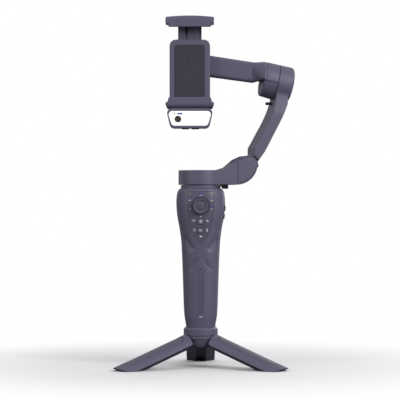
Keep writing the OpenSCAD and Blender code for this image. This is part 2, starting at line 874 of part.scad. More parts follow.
module pan_arm() {
    color(body_c) arm_side() difference() {
        union() {
            translate([0, 0, cup_z]) cylinder(h = cup_h, r = cup_r);
            along_y(-arm_d / 2, arm_d / 2) polygon(concat(
                [[0, cup_top - 2 * over], [0, cup_z]],
                ear_points(0),
                [knee + ear_r * ear_crest[len(ear_crest) - 1]]
            ));
            translate([-cup_r - latch_out, -latch_w / 2, cup_z])
                cube([cup_r, latch_w, cup_h]);
        }
        translate([0, 0, cup_z - over]) cylinder(h = roof_z - cup_z + over, r = magnet_r + 2 * turn_gap);
        translate([0, 0, cup_top - cap_sunk]) cylinder(h = over + cap_sunk, r = cap_r + snug_gap);
        translate([0, 0, roof_z - over]) cylinder(h = 2 * over, r = shaft_r + snug_gap);
        translate([-cup_r - latch_out - over, 0, cup_top - latch_notch]) rotate([45, 0, 0])
            cube([latch_notch + over, 2 * latch_notch, 2 * latch_notch]);
        ear_slot();
        translate([knee_x, 0, knee_z]) rod_y(knee_pin_r + snug_gap, -arm_d / 2 - over, arm_d / 2 + over);
        for (k = [-1, 1]) mirror([0, k > 0 ? 1 : 0, 0])
            along_y(-arm_d / 2 - over, -arm_d / 2 + cover_t) cover_outline(0);
    }
}

module cover_outline(inset) {
    intersection() {
        polygon(ear_points(cover_inset + inset));
        translate([cover_x + inset, cup_z]) square([knee_x, 4 * ear_r]);
    }
}

module pan_cap() {
    color(body_c) arm_side() translate([0, 0, cup_top - cap_sunk]) cylinder(h = cap_sunk, r = cap_r);
}

module knee_covers() {
    color(body_c) arm_side() for (k = [-1, 1]) mirror([0, k > 0 ? 1 : 0, 0])
        along_y(-arm_d / 2 + pad_sunk, -arm_d / 2 + cover_t) cover_outline(pad_gap);
}

module knee_pin() {
    color(metal_c) arm_side() translate([knee_x, 0, knee_z])
        rod_y(knee_pin_r, -arm_d / 2 + cover_t + snug_gap, arm_d / 2 - cover_t - snug_gap);
}

// Pan lock tab, a small wedge that hangs under the arm beside the neck
lock_w = 6.3;
lock_slant = 2.2;
lock_h = 3.8;
lock_d = 10;
lock_x = max(cup_r - over / 2, grip_half_w(1) + turn_gap);
module pan_lock() {
    color(dark_c) arm_side() translate([lock_x, 0, cup_z]) along_y(-lock_d / 2, lock_d / 2)
        polygon([[0, 0], [lock_slant, -lock_h], [lock_w, -lock_h], [lock_w, 0]]);
}

// The tilt axis, whose origin lies on the seam and whose x points outwards
tilt_seam = [tilt_x, tilt_z];
tilt_out = [cos(tilt_drop), -sin(tilt_drop)];
tilt_up = [sin(tilt_drop), cos(tilt_drop)];
function tilt_point(s, n) = tilt_seam + s * tilt_out + n * tilt_up;
module tilt_side() {
    arm_side() translate([tilt_x, 0, tilt_z]) rotate([0, tilt_drop, 0]) children();
}
module rod_tilt(r, from, to) {
    translate([from, 0, 0]) rotate([0, 90, 0]) cylinder(h = to - from, r = r);
}

// Upper arm between knee and seam: share of that line, then how far its left and
// right faces lie across it, as shares of its length
arm_shares = [
    [0.10, -0.045, 0.097], [0.225, -0.008, 0.118], [0.43, 0.023, 0.139],
    [0.56, 0.043, 0.155], [0.69, 0.053, 0.168], [0.80, 0.044, 0.172]
];
arm_line = tilt_seam - knee;
arm_across = [arm_line[1], -arm_line[0]];
function arm_point(s, k) = knee + s * arm_line + k * arm_across;
head_round = 3.2;
head_wall = 2;
shoulder_r = 12.4;
arm_half = tilt_r - head_round / 8;
head_in = turn_gap + head_wall / 8;
tongue_shares = [[0, -0.085], [0.3, 0.02], [0.3, 0.11], [0, 0.095]];
module upper_arm() {
    color(body_c) {
        difference() {
            union() {
                tilt_side() rotate([0, 90, 0]) rotate_extrude() polygon(concat(
                    [[0, turn_gap], [tilt_r, turn_gap]],
                    arc([tilt_r - head_round, head_l - head_round], head_round, 0, 90),
                    [[0, head_l]]
                ));
                arm_side() along_y(-arm_half, arm_half) difference() {
                    polygon(concat(
                        [for (p = arm_shares) arm_point(p[0], p[1])],
                        [tilt_point(head_in, -tilt_r / 2), tilt_point(head_in, 0)],
                        [tilt_point(head_l - head_round, 0), tilt_point(head_l - head_round, -tilt_r / 2)],
                        [for (k = [len(arm_shares) - 1:-1:0])
                            arm_point(arm_shares[k][0], arm_shares[k][2])]
                    ));
                    translate(knee) circle(r = shoulder_r);
                }
                arm_side() along_y(-tongue_d / 2, tongue_d / 2) {
                    translate(knee) circle(r = tongue_r);
                    polygon([for (p = tongue_shares) arm_point(p[0], p[1])]);
                }
            }
            tilt_side() rod_tilt(tilt_r - head_wall, -tilt_r, head_l - head_wall);
            arm_side() translate([knee_x, 0, knee_z])
                rod_y(knee_pin_r + run_gap, -tilt_r, tilt_r);
            stop_side() translate([0, 0, -stop_root]) cylinder(h = stop_l, r = stop_r + snug_gap);
        }
        tilt_side() difference() {
            rod_tilt(post_out, 2 * over, head_l - head_wall + over / 2);
            rod_tilt(shaft_r + run_gap, over, head_l - head_wall - over / 2);
        }
    }
}

// Motor inside the head: post, wound ring, and the magnet bell of the cup
post_out = 5.2;
coil_r = 11.6;
coil_l = 6.5;
coil_s = 3.4;
bell_r = 14.4;
bell_in = 12.2;
module tilt_stator() {
    color(copper_c) tilt_side() difference() {
        rod_tilt(coil_r, coil_s, coil_s + coil_l);
        rod_tilt(post_out + snug_gap, 0, head_l);
    }
}

// Stop nub under the head, which drops into the latch when the arm folds
stop_r = 1.4;
stop_l = 7;
stop_root = 2.5;
stop_share = 0.765;
stop_across = 0.048;
module stop_side() {
    base = arm_point(stop_share, stop_across);
    arm_side() translate([base[0], 0, base[1]]) rotate([0, -90, 0]) children();
}
module arm_stop() {
    color(dark_c) stop_side() {
        translate([0, 0, -stop_root]) cylinder(h = stop_root + stop_l - stop_r, r = stop_r);
        translate([0, 0, stop_l - stop_r]) sphere(r = stop_r);
    }
}

cup_floor = 2;
module tilt_rotor() {
    color(metal_c) tilt_side() {
        rod_tilt(shaft_r, -tilt_cup_l + cup_floor, coil_s + coil_l + over);
        rod_tilt(bell_r, turn_gap - bell_t, turn_gap);
        difference() {
            rod_tilt(bell_r, 0, coil_s + coil_l);
            rod_tilt(bell_in, -over, head_l);
        }
    }
}

module tilt_cup() {
    color(body_c) tilt_side() {
        difference() {
            rod_tilt(tilt_r, -tilt_cup_l, -turn_gap);
            rod_tilt(tilt_r - head_wall, -tilt_cup_l + cup_floor, head_l);
        }
        difference() {
            rod_tilt(post_out, -tilt_cup_l + cup_floor / 2, turn_gap - bell_t - snug_gap);
            rod_tilt(shaft_r + snug_gap, -tilt_cup_l + cup_floor, head_l);
        }
    }
}

// The clamp's frame: x and z from the roll axis, y from the pan axis
module clamp_side() {
    placed() translate([clamp_x, 0, roll_z]) children();
}
clamp_front = -5;
clamp_rear = 2.5;
housing_y = clamp_rear + 2 * turn_gap;
housing_l = 20;
housing_rear = housing_y + housing_l;
// Cross arm: where it leaves the cup, where it has drawn back behind the clamp,
// and its bar's section
bend_x = 59;
bar_front = housing_y + 1;
bar_rear = housing_rear - 3.5;
bar_t = 1;
bar_h = 19;
bar_end_h = 20;
bar_round = 3;
bend_z = -(bend_x + clamp_x + clamp_run) * tan(tilt_drop);

// An upright slab with round corners, across the cross arm's bar
module bar_slab(x, z, h) {
    for (y = [bar_front + bar_round, bar_rear - bar_round], k = [-1, 1])
        translate([x, y, z + k * (h / 2 - bar_round)]) rotate([0, 90, 0])
            cylinder(h = bar_t, r = bar_round, $fn = blend_fn);
}

// The upper half of the cup's end, from which the cross arm grows
module cup_slice() {
    tilt_side() intersection() {
        rod_tilt(tilt_r, -tilt_cup_l - bar_t, -tilt_cup_l, $fn = blend_fn);
        translate([-head_l - tilt_cup_l, -tilt_r, -bar_t])
            cube([2 * head_l, 2 * tilt_r, 2 * tilt_r]);
    }
}

module cross_arm() {
    color(body_c) {
        difference() {
            union() {
                hull() {
                    clamp_side() bar_slab(bend_x, bend_z + bar_h / 4, bar_h);
                    cup_slice();
                }
                hull() {
                    clamp_side() bar_slab(bend_x, bend_z + bar_h / 4, bar_h);
                    clamp_side() bar_slab(roll_r / 2, 0, bar_end_h);
                }
                clamp_side() rod_y(roll_r, housing_y, housing_rear);
            }
            clamp_side() rod_y(roll_r - head_wall, housing_y - over, housing_rear - head_wall);
        }
        clamp_side() difference() {
            rod_y(post_out, housing_y + 2 * over, housing_rear - over);
            rod_y(shaft_r + run_gap, housing_y, housing_rear - head_wall);
        }
    }
}

module roll_stator() {
    color(copper_c) clamp_side() difference() {
        rod_y(coil_r, housing_y + coil_s, housing_y + coil_s + coil_l);
        rod_y(post_out + snug_gap, housing_y, housing_rear);
    }
}

roll_bell_r = 13.8;
roll_bell_in = 12.2;
module roll_rotor() {
    color(metal_c) clamp_side() {
        rod_y(shaft_r, clamp_rear - over + snug_gap, housing_y + coil_s + coil_l + 3 * over);
        rod_y(roll_bell_r, clamp_rear, clamp_rear + bell_t);
        difference() {
            rod_y(roll_bell_r, clamp_rear, housing_y + coil_s + coil_l);
            rod_y(roll_bell_in, clamp_rear - over, housing_rear);
        }
    }
}

// Phone clamp
pad_t = 0.8;
jaw_face = jaw_open / 2 + pad_t;
lip_t = 2.5;
jaw_front = clamp_front - slot_d - lip_t;
back_w = 38;
back_top = 22.5;
back_round = 5;
low_jaw_h = 5.8;
high_jaw_h = 7.4;
low_lip = 3.8;
high_lip = 2.6;
lip_inset = 2.4;
jaw_round = 3.5;
jaw_taper = 1.2;
jaw_crown = 1.3;
// Channel in the clamp's back for the upper jaw's carriage
carriage_w = 22;
carriage_t = 4;
carriage_y = clamp_front + 1.8;
carriage_foot = -3;
channel_foot = carriage_foot - jaw_less - 9;
slide_gap = 0.3;
rod_r = 1.25;
rod_x = 7.5;
rod_top = back_top - over;

module rounded_rect(x0, x1, z0, z1, r) {
    for (x = [x0 + r, x1 - r]) translate([x, z1 - r]) circle(r = r);
    translate([x0 + r, z0]) square([x1 - x0 - 2 * r, z1 - z0]);
    translate([x0, z0]) square([x1 - x0, z1 - z0 - r]);
}

module clamp_back() {
    color(body_c) clamp_side() difference() {
        along_y(clamp_front, clamp_rear)
            rounded_rect(-back_w / 2, back_w / 2, -jaw_face, back_top, back_round);
        translate([-carriage_w / 2 - slide_gap, carriage_y - slide_gap, channel_foot])
            cube([carriage_w + 2 * slide_gap, carriage_t + 2 * slide_gap, 2 * back_top - channel_foot]);
        for (k = [-1, 1]) translate([k * rod_x, carriage_y + carriage_t / 2, channel_foot - 2 * over])
            cylinder(h = 3 * over, r = rod_r + snug_gap);
        rod_y(shaft_r + snug_gap, clamp_rear - over, clamp_rear + over);
    }
}

module back_pad() {
    color(rubber_c) clamp_side() along_y(clamp_front - pad_t, clamp_front)
        rounded_rect(-back_w / 2 + back_round, back_w / 2 - back_round,
            -jaw_face + back_round, back_top - back_round, back_round / 2);
}

// Side profiles of the jaws, in y and height from the gripping face outwards
module jaw_profile(h, lip, under) {
    polygon(concat(
        [[clamp_rear, 0], [clamp_rear, -h]],
        arc([jaw_front + under, -h + under], under, 270, 180),
        arc([jaw_front + lip_t / 3, lip - lip_t / 3], lip_t / 3, 180, 90, 4),
        arc([jaw_front + lip_t * 2 / 3, lip - lip_t / 3], lip_t / 3, 90, 0, 4),
        [[jaw_front + lip_t, 0]]
    ));
}

// Front outlines of the jaws: full width, narrower at the lip, and tapered or
// crowned at the outer side
module jaw_front_outline(h, lip, taper, crown) {
    w = jaw_w / 2;
    n = 8;
    polygon(concat(
        [[-w + lip_inset + lip / 3, lip], [-w + lip_inset, lip * 2 / 3], [-w + lip_inset, 0], [-w, 0]],
        [[-w, -h / 3]],
        [for (k = [-n:n]) let (t = k / n) [t * (w - taper), -h + crown * pow(t, 2)]],
        [[w, -h / 3]],
        [[w, 0], [w - lip_inset, 0], [w - lip_inset, lip * 2 / 3], [w - lip_inset - lip / 3, lip]]
    ));
}

module jaw(h, lip, taper, crown, under) {
    intersection() {
        rotate([90, 0, 90]) translate([0, 0, -jaw_w]) linear_extrude(2 * jaw_w)
            jaw_profile(h, lip, under);
        along_y(jaw_front - over, clamp_rear + over) jaw_front_outline(h, lip, taper, crown);
    }
}

module lower_jaw() {
    color(body_c) clamp_side() translate([0, 0, -jaw_face])
        jaw(low_jaw_h, low_lip + pad_t, jaw_taper, 0, low_jaw_h * 0.75);
}

module lower_pad() {
    color(rubber_c) clamp_side() translate([-back_w / 2, jaw_front + lip_t + pad_t, -jaw_face])
        cube([back_w, slot_d - 2 * pad_t, pad_t]);
}

module upper_jaw() {
    color(body_c) clamp_side() difference() {
        union() {
            translate([0, 0, jaw_face]) mirror([0, 0, 1])
                jaw(high_jaw_h, high_lip + pad_t, 0, jaw_crown, jaw_round);
            translate([-carriage_w / 2, carriage_y, carriage_foot])
                cube([carriage_w, carriage_t, jaw_face - carriage_foot + over]);
        }
        for (k = [-1, 1]) translate([k * rod_x, carriage_y + carriage_t / 2, carriage_foot - over])
            cylinder(h = rod_top + jaw_less + over - carriage_foot + over, r = rod_r + run_gap);
    }
}

module upper_pad() {
    color(rubber_c) clamp_side()
        translate([-back_w / 2, jaw_front + lip_t + pad_t, jaw_face - pad_t])
            cube([back_w, slot_d - 2 * pad_t, pad_t]);
}

module guide_rods() {
    color(metal_c) clamp_side() for (k = [-1, 1])
        translate([k * rod_x, carriage_y + carriage_t / 2, channel_foot - over])
            cylinder(h = rod_top - channel_foot + over, r = rod_r);
}

// Springs round the rods, which pull the carriage down
spring_r = 1.9;
module clamp_springs() {
    color(metal_c) clamp_side() for (k = [-1, 1])
        translate([k * rod_x, carriage_y + carriage_t / 2, 0])
            ring_z(spring_r, rod_r + run_gap, channel_foot, carriage_foot - channel_foot);
}

// Light module: outline half width at its top and foot, and its frosted window
light_gap = 0.5;
light_top = -jaw_face - low_jaw_h;
light_foot_share = 0.9;
light_round = 4.7;
light_shoulder = 3;
neck_half = 19.3;
window_sides = 1.5;
window_top = 2.7;
window_foot = 2.4;
window_round = 3.4;
window_t = 1.2;
window_sunk = 0.15;
light_front = clamp_front - slot_d - lip_t + 0.5;

// Outline of the light module, drawn in by an inset, with round corners
module light_outline(sides, top, foot, r) {
    wide = light_w / 2 - sides;
    narrow = light_w / 2 * light_foot_share - sides;
    z1 = light_top - top;
    z0 = light_top - light_h + foot;
    polygon(concat(
        arc([wide - r, z1 - r], r, 90, 8),
        arc([narrow - r, z0 + r], r, -8, -90),
        arc([-narrow + r, z0 + r], r, 270, 188),
        arc([-wide + r, z1 - r], r, 172, 90)
    ));
}

lens_x = -11;
lens_drop = 10.2;
light_wall = 1.4;
light_key_w = 6.8;
light_key_x = [-4.1, 5.2];
light_key_d = 4;
light_key_out = 0.85;
light_key_y = light_front + 7;

module light_housing() {
    color(body_c) clamp_side() difference() {
        along_y(light_front, light_front + light_d) light_outline(0, 0, 0, light_round);
        along_y(light_front - over, light_front + window_t)
            light_outline(window_sides, window_top, window_foot, window_round);
        along_y(light_front, light_front + light_d - light_wall)
            light_outline(window_sides + light_wall, window_top + light_wall,
                window_foot + light_wall, window_round);
        for (x = light_key_x)
            translate([x, light_key_y, light_top - light_h])
                cube([light_key_w + 2 * key_gap, light_key_d + 2 * key_gap, 3 * window_foot + light_wall],
                    center = true);
    }
}

module light_diffuser() {
    color(white_c) clamp_side() difference() {
        along_y(light_front + window_sunk, light_front + window_t - run_gap)
            light_outline(window_sides + pad_gap, window_top + pad_gap,
                window_foot + pad_gap, window_round);
        translate([lens_x, 0, light_top - lens_drop])
            rod_y(lens_r + snug_gap, light_front - over, light_front + light_d);
    }
}

module lens_window() {
    color(lens_c) clamp_side() translate([lens_x, 0, light_top - lens_drop])
        rod_y(lens_r, light_front + window_sunk / 2, light_front + light_d - light_wall - run_gap);
}

module light_key(x) {
    color(dark_c) clamp_side() {
        translate([x - light_key_w / 2, light_key_y - light_key_d / 2, light_top - light_h - light_key_out])
            cube([light_key_w, light_key_d, light_key_out + window_foot + light_wall + key_travel]);
        translate([x - light_key_w / 2 - key_lip, light_key_y - light_key_d / 2 - key_lip,
            light_top - light_h + window_foot + light_wall + key_gap])
            cube([light_key_w + 2 * key_lip, light_key_d + 2 * key_lip, key_travel]);
    }
}
module light_key_left() { light_key(light_key_x[0]); }
module light_key_right() { light_key(light_key_x[1]); }

// Tripod hub
hub_ring_h = 7.9;
hub_mid_h = 3.2;
hub_waist = 1.5;
hub_foot_r = 12.5;
hub_chamfer = 2.2;
leg_pin_rise = 7.8;
leg_pin_z = hub_lift + leg_pin_rise;
tongue_w = 9;
tongue_leg_r = 3.6;
leg_slot_gap = 0.3;
leg_pin_l = 17;

module radial(turn) {
    placed() rotate([0, 0, turn]) children();
}

module tripod_hub() {
    hub_top = hub_lift + hub_h;
    color(body_c) difference() {
        placed() rotate_extrude() polygon([
            [0, hub_lift], [hub_foot_r - hub_waist / 2, hub_lift],
            [hub_foot_r, hub_lift + hub_waist / 2],
            [hub_r - hub_waist, hub_top - hub_ring_h - hub_mid_h],
            [hub_r - hub_waist / 2, hub_top - hub_ring_h - hub_mid_h],
            [hub_r - hub_waist / 2, hub_top - hub_ring_h],
            [hub_r, hub_top - hub_ring_h],
            [hub_r, hub_top - hub_chamfer], [hub_r - hub_chamfer, hub_top],
            [0, hub_top]
        ]);
        for (turn = leg_turns) radial(turn) {
            translate([leg_pin_x - tongue_leg_r - leg_slot_gap, -tongue_w / 2 - leg_slot_gap, 0])
                cube([hub_r, tongue_w + 2 * leg_slot_gap, leg_pin_z + tongue_leg_r + leg_slot_gap]);
            translate([leg_pin_x, 0, leg_pin_z])
                rod_y(leg_pin_r + snug_gap, -leg_pin_l / 2 - snug_gap, leg_pin_l / 2 + snug_gap);
        }
        placed() translate([0, 0, hub_top - stud_deep]) cylinder(h = stud_deep + over, r = stud_r);
    }
}

stud_deep = 6;
stud_r = 3.1;
module tripod_stud() {
    color(metal_c) placed() translate([0, 0, grip_z - stud_deep])
        cylinder(h = stud_deep + grip_floor, r = stud_r);
}

module leg_pins() {
    color(metal_c) for (turn = leg_turns) radial(turn)
        translate([leg_pin_x, 0, leg_pin_z]) rod_y(leg_pin_r, -leg_pin_l / 2, leg_pin_l / 2);
}

// A leg's own frame: x along the opened leg from its pin, z up out of its face
module leg_frame(turn) {
    radial(turn) translate([leg_pin_x, 0, leg_pin_z]) rotate([0, leg_slope, 0]) children();
}
leg_in_r = 6;
leg_split = 0.2;
leg_end = (leg_reach - leg_pin_x) / cos(leg_slope) + hub_r;
leg_clear = 0.3;
nose_h = 2.7;
nose_run = 7.5;

// Section of a leg: a third of a tube about the folded legs' common axis
module leg_section(outer, inner, half) {
    translate([0, -leg_pin_x]) intersection() {
        difference() {
            circle(r = outer);
            circle(r = inner);
        }
        polygon([
            [0, leg_split / sin(60)],
            2 * hub_r * [sin(half), cos(half)] + [0, leg_split / sin(60)],
            [0, 4 * hub_r],
            2 * hub_r * [-sin(half), cos(half)] + [0, leg_split / sin(60)]
        ]);
    }
}

// The section carried along the leg, from one place to another
module leg_bar(outer, inner, half, from, to) {
    translate([from, 0, 0]) rotate([90, 0, 90]) linear_extrude(to - from)
        leg_section(outer, inner, half);
}

// Insets in the outer faces: half angle, place along the leg and depth
inset_half = 33.5;
inset_from = 10;
inset_to = 73;
inset_deep = 0.7;
inset_corner = 4;
module inset_cut(grow, depth) {
    intersection() {
        leg_bar(hub_r + over, hub_r - depth, inset_half + grow, inset_from - grow, inset_to + grow);
        wide = 2 * hub_r * sin(inset_half) / 2 + grow;
        a = inset_from - grow;
        b = inset_to + grow;
        linear_extrude(hub_r) polygon([
            [a, -wide + inset_corner], [a + inset_corner, -wide],
            [b - inset_corner, -wide], [b, -wide + inset_corner],
            [b, wide - inset_corner], [b - inset_corner, wide],
            [a + inset_corner, wide], [a, wide - inset_corner]
        ]);
    }
}

module leg(turn) {
    color(body_c) difference() {
        union() {
            intersection() {
                leg_frame(turn) difference() {
                    leg_bar(hub_r, leg_in_r, 60, leg_pin_r, leg_end);
                    translate([0, 0, -leg_pin_x]) rotate([0, 90, 0])
                        translate([0, 0, -hub_r]) cylinder(h = hub_r + leg_pin_rise + leg_clear,
                            r = hub_foot_r + over);
                }
                radial(turn) rotate([90, 0, 0]) translate([0, 0, -2 * hub_r])
                    linear_extrude(4 * hub_r) polygon([
                        [hub_r + leg_clear, 0], [leg_reach - nose_run, 0],
                        [leg_reach, nose_h], [leg_reach, 4 * hub_r],
                        [hub_r + leg_clear, 4 * hub_r]
                    ]);
            }
            leg_frame(turn) {
                rod_y(tongue_leg_r, -tongue_w / 2, tongue_w / 2);
                translate([0, -tongue_w / 2, -tongue_leg_r])
                    cube([leg_pin_x + over, tongue_w, 2 * tongue_leg_r]);
            }
        }
        leg_frame(turn) {
            inset_cut(pad_gap, inset_deep);
            rod_y(leg_pin_r + run_gap, -tongue_w, tongue_w);
        }
    }
}

module leg_inset(turn) {
    color(panel_c) leg_frame(turn) intersection() {
        inset_cut(0, inset_deep - run_gap);
        leg_bar(hub_r - pad_sunk / 2, 0, 60, 0, leg_end);
    }
}

module leg_left() { leg(leg_turns[0]); }
module leg_right() { leg(leg_turns[1]); }
module leg_rear() { leg(leg_turns[2]); }
module leg_inset_left() { leg_inset(leg_turns[0]); }
module leg_inset_right() { leg_inset(leg_turns[1]); }
module leg_inset_rear() { leg_inset(leg_turns[2]); }

front_shell();
rear_shell();
keypad_panel();
mode_lights();
charge_strip();
charge_lights();
battery_cell();
main_board();
joystick_base();
side_bezel();
usb_port();
shell_screws();
thread_insert();
neck_ring();
pan_stator();
pan_bearings();
tripod_hub();
tripod_stud();
leg_pins();
joystick_yoke();
joystick_stick();
joystick_cap();
record_key();
mode_key();
zoom_slider();
power_button();
trigger();
pan_rotor();
pan_arm();
pan_cap();
knee_covers();
knee_pin();
pan_lock();
upper_arm();
tilt_stator();
arm_stop();
tilt_rotor();
tilt_cup();
cross_arm();
roll_stator();
roll_rotor();
clamp_back();
back_pad();
lower_jaw();
lower_pad();
guide_rods();
clamp_springs();
light_housing();
light_diffuser();
lens_window();
upper_jaw();
upper_pad();
light_key_left();
light_key_right();
leg_left();
leg_right();
leg_rear();
leg_inset_left();
leg_inset_right();
leg_inset_rear();
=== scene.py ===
"""Smartphone gimbal on a small folding tripod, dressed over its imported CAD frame.

Each piece is an operator that works out its surface in millimetres, on the frame's own axes."""

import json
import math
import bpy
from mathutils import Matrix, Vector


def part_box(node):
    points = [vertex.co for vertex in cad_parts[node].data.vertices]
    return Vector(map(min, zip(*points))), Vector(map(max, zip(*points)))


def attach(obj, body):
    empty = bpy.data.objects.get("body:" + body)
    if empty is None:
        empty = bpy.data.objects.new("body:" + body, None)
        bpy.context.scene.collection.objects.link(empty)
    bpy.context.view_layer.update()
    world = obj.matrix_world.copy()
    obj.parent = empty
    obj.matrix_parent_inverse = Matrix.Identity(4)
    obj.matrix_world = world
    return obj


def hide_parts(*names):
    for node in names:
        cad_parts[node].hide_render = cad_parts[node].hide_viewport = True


bl_info = {
    "name": "Smartphone gimbal",
    "version": (1, 0, 0),
    "blender": (4, 5, 0),
    "location": "3D View > Sidebar > Gimbal",
    "description": "Builds the visible pieces of a smartphone gimbal around its packed frame",
    "category": "Object",
}

from types import SimpleNamespace

import bmesh
import bpy
import numpy as np
from bpy.props import FloatProperty, FloatVectorProperty, PointerProperty
from mathutils import Vector
from mathutils.geometry import delaunay_2d_cdt

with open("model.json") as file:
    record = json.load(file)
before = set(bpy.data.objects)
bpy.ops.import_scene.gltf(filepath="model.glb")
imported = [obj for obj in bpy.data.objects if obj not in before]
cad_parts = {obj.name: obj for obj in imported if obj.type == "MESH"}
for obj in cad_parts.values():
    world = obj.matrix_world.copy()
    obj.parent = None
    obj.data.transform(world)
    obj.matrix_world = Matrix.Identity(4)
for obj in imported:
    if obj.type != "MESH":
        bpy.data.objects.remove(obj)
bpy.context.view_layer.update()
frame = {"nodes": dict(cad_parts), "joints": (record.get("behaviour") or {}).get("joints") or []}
JOINTS = {joint["name"]: joint for joint in frame["joints"]}
MM = 0.001


def low(node):
    """Lowest corner of a CAD node, in millimetres."""
    return np.array(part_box(node)[0]) / MM


def high(node):
    """Highest corner of a CAD node, in millimetres."""
    return np.array(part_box(node)[1]) / MM


def joint_place(name):
    """Where a joint's axis passes, in millimetres."""
    return np.array(JOINTS[name]["pos_m"]) / MM


def length(title, words, value, most=0.5):
    """A length property, given in millimetres and kept in metres."""
    return FloatProperty(
        name=title, description=words, default=value * MM, min=0.0, max=most,
        unit="LENGTH", subtype="DISTANCE", precision=5,
    )


def degrees(title, words, value):
    """An angle property, given in degrees and kept in radians."""
    return FloatProperty(
        name=title, description=words, default=math.radians(value), unit="ROTATION", subtype="ANGLE"
    )


def linear(red, green, blue):
    """A screen colour of 0 to 255 as the shader's linear numbers."""
    share = np.array([red, green, blue]) / 255
    return tuple(np.where(share <= 0.04045, share / 12.92, ((share + 0.055) / 1.055) ** 2.4))


def paint(title, words, red, green, blue):
    """A colour property, given as a screen colour."""
    return FloatVectorProperty(
        name=title, description=words, default=linear(red, green, blue),
        size=3, min=0.0, max=1.0, subtype="COLOR",
    )


class GripSizes(bpy.types.PropertyGroup):
    """Sizes of the grip's two shells"""

    width: length("Width", "Width of the grip at its bulge", 45.8)
    depth: length("Depth", "Depth of the grip at its bulge", 40)
    wall: length("Wall", "Wall of the shells", 2)
    seam: degrees("Seam angle", "Angle by which the rear shell wraps past the sides", 33.5)
    edge: length("Edge", "Rounding of the shells' edges", 0.35)
    carve: length("Carved cross", "Depth of the cross carved in the front", 0.95)


class KeypadSizes(bpy.types.PropertyGroup):
    """Sizes of the keypad, its keys and the side controls"""

    width: length("Panel width", "Width of the keypad panel at its top", 25.3)
    height: length("Panel height", "Height of the keypad panel", 47.8)
    drop: length("Panel drop", "Distance of the panel below the grip's top", 3.4)
    knob: length("Joystick radius", "Radius of the joystick's cap", 6.6)
    key_width: length("Key width", "Width of the two front keys", 6.7)
    key_height: length("Key height", "Height of the two front keys", 6.2)
    proud: length("Key height proud", "How far a front key stands out", 0.35)
    strip: length("Charge strip width", "Width of the charge strip", 3.7)
    side_key: length("Side key width", "Width of the slider and the power button", 4)


class ArmSizes(bpy.types.PropertyGroup):
    """Sizes of the pan cup, the knee and the upper arm"""

    cup: length("Pan cup radius", "Radius of the pan motor's cup", 19.7)
    cup_height: length("Pan cup height", "Height of the pan motor's cup", 13.6)
    ear: length("Ear radius", "Radius of the knee's ears", 9.8)
    belly: length("Belly radius", "Radius of the curve under the knee", 19.9)
    depth: length("Arm depth", "Depth of the knee's ears, front to back", 34.6)
    tongue: length("Tongue depth", "Depth of the tongue between the ears", 21.4)
    edge: length("Edge", "Rounding of the arms' edges", 0.9)
    bevel: length("Inner bevel", "Width of the bevel along the upper arm's inner edge", 1.1)


class MotorSizes(bpy.types.PropertyGroup):
    """Sizes of the tilt and roll motors"""

    tilt: length("Tilt radius", "Radius of the tilt motor", 17)
    head: length("Head length", "Length of the tilt head beyond its seam", 15)
    cup: length("Cup length", "Length of the tilt cup before the seam", 13)
    roll: length("Roll radius", "Radius of the roll motor", 16.5)
    roll_length: length("Roll length", "Length of the roll motor's housing", 20)
    edge: length("Edge", "Rounding of the head's outer end", 3.2)


class ClampSizes(bpy.types.PropertyGroup):
    """Sizes of the phone clamp and its light"""

    opening: length("Opening", "Distance between the two jaw pads", 71.5)
    slot: length("Slot", "Depth of the space for a phone", 10.5)
    jaw: length("Jaw width", "Width of the jaws", 45.2)
    back: length("Back width", "Width of the clamp's back", 38)
    light: length("Light width", "Width of the light module at its top", 42.1)
    light_height: length("Light height", "Height of the light module", 18.6)
    light_depth: length("Light depth", "Depth of the light module", 15.5)
    lens: length("Lens radius", "Radius of the lens window", 3)


class FinishColours(bpy.types.PropertyGroup):
    """Colours of the gimbal's materials"""

    body: paint("Housing", "Moulded plastic of the housings", 86, 84, 104)
    panel: paint("Keypad", "Satin face of the keypad", 84, 82, 98)
    # The trim colour is also used for thin sheets of painted shade in the grooves round the tripod
    # legs' insets.
    dark: paint("Trim", "Darker plastic of small parts", 58, 56, 70)
    knob: paint("Joystick", "Rubber of the joystick", 82, 80, 97)
    pads: paint("Pads", "Rubber of the clamp's pads", 54, 51, 62)
    mark: paint("Marks", "Printed marks on the keypad", 200, 197, 210)
    glow: paint("Blue lights", "Lenses of the small blue lights", 58, 70, 150)
    ready: paint("Ready light", "Lens of the small green light", 150, 172, 138)
    white: paint("Light panel", "Frosted panel of the light", 246, 246, 247)
    lens: paint("Lens", "Smoked window of the light's sensor", 56, 49, 49)


class StageSizes(bpy.types.PropertyGroup):
    """Camera and floor"""

    distance: length("Distance", "Distance of the camera from the pan axis", 1700, 5)
    height: length("Height", "Height of the camera above the floor", 156.6)
    view: length("View", "Width of the view at the pan axis", 375.2, 2)
    floor: paint("Floor", "Floor near the object", 236, 236, 238)


GROUPS = {
    "gimbal_grip": GripSizes, "gimbal_keypad": KeypadSizes, "gimbal_arm": ArmSizes,
    "gimbal_motor": MotorSizes, "gimbal_clamp": ClampSizes, "gimbal_colour": FinishColours,
    "gimbal_stage": StageSizes,
}


def sizes(context, name):
    """A group's values, with its lengths in millimetres."""
    group = getattr(context.scene, "gimbal_" + name)
    found = {}
    for key in group.__annotations__:
        value = getattr(group, key)
        found[key] = value / MM if group.bl_rna.properties[key].unit == "LENGTH" else value
    return SimpleNamespace(**found)


# Frames and faces


class Place:
    """A frame with its own origin and axes. Called with x, y and z in millimetres, it gives
    origin + x * first axis + y * second axis + z * third axis, in metres."""

    def __init__(self, origin, first=(1, 0, 0), second=(0, 1, 0), third=(0, 0, 1)):
        self.origin = np.array(origin, float)
        self.axes = np.array([first, second, third], float)

    def __call__(self, x, y, z):
        local = np.stack(np.broadcast_arrays(x, y, z), -1).astype(float)
        return (self.origin + local @ self.axes) * MM


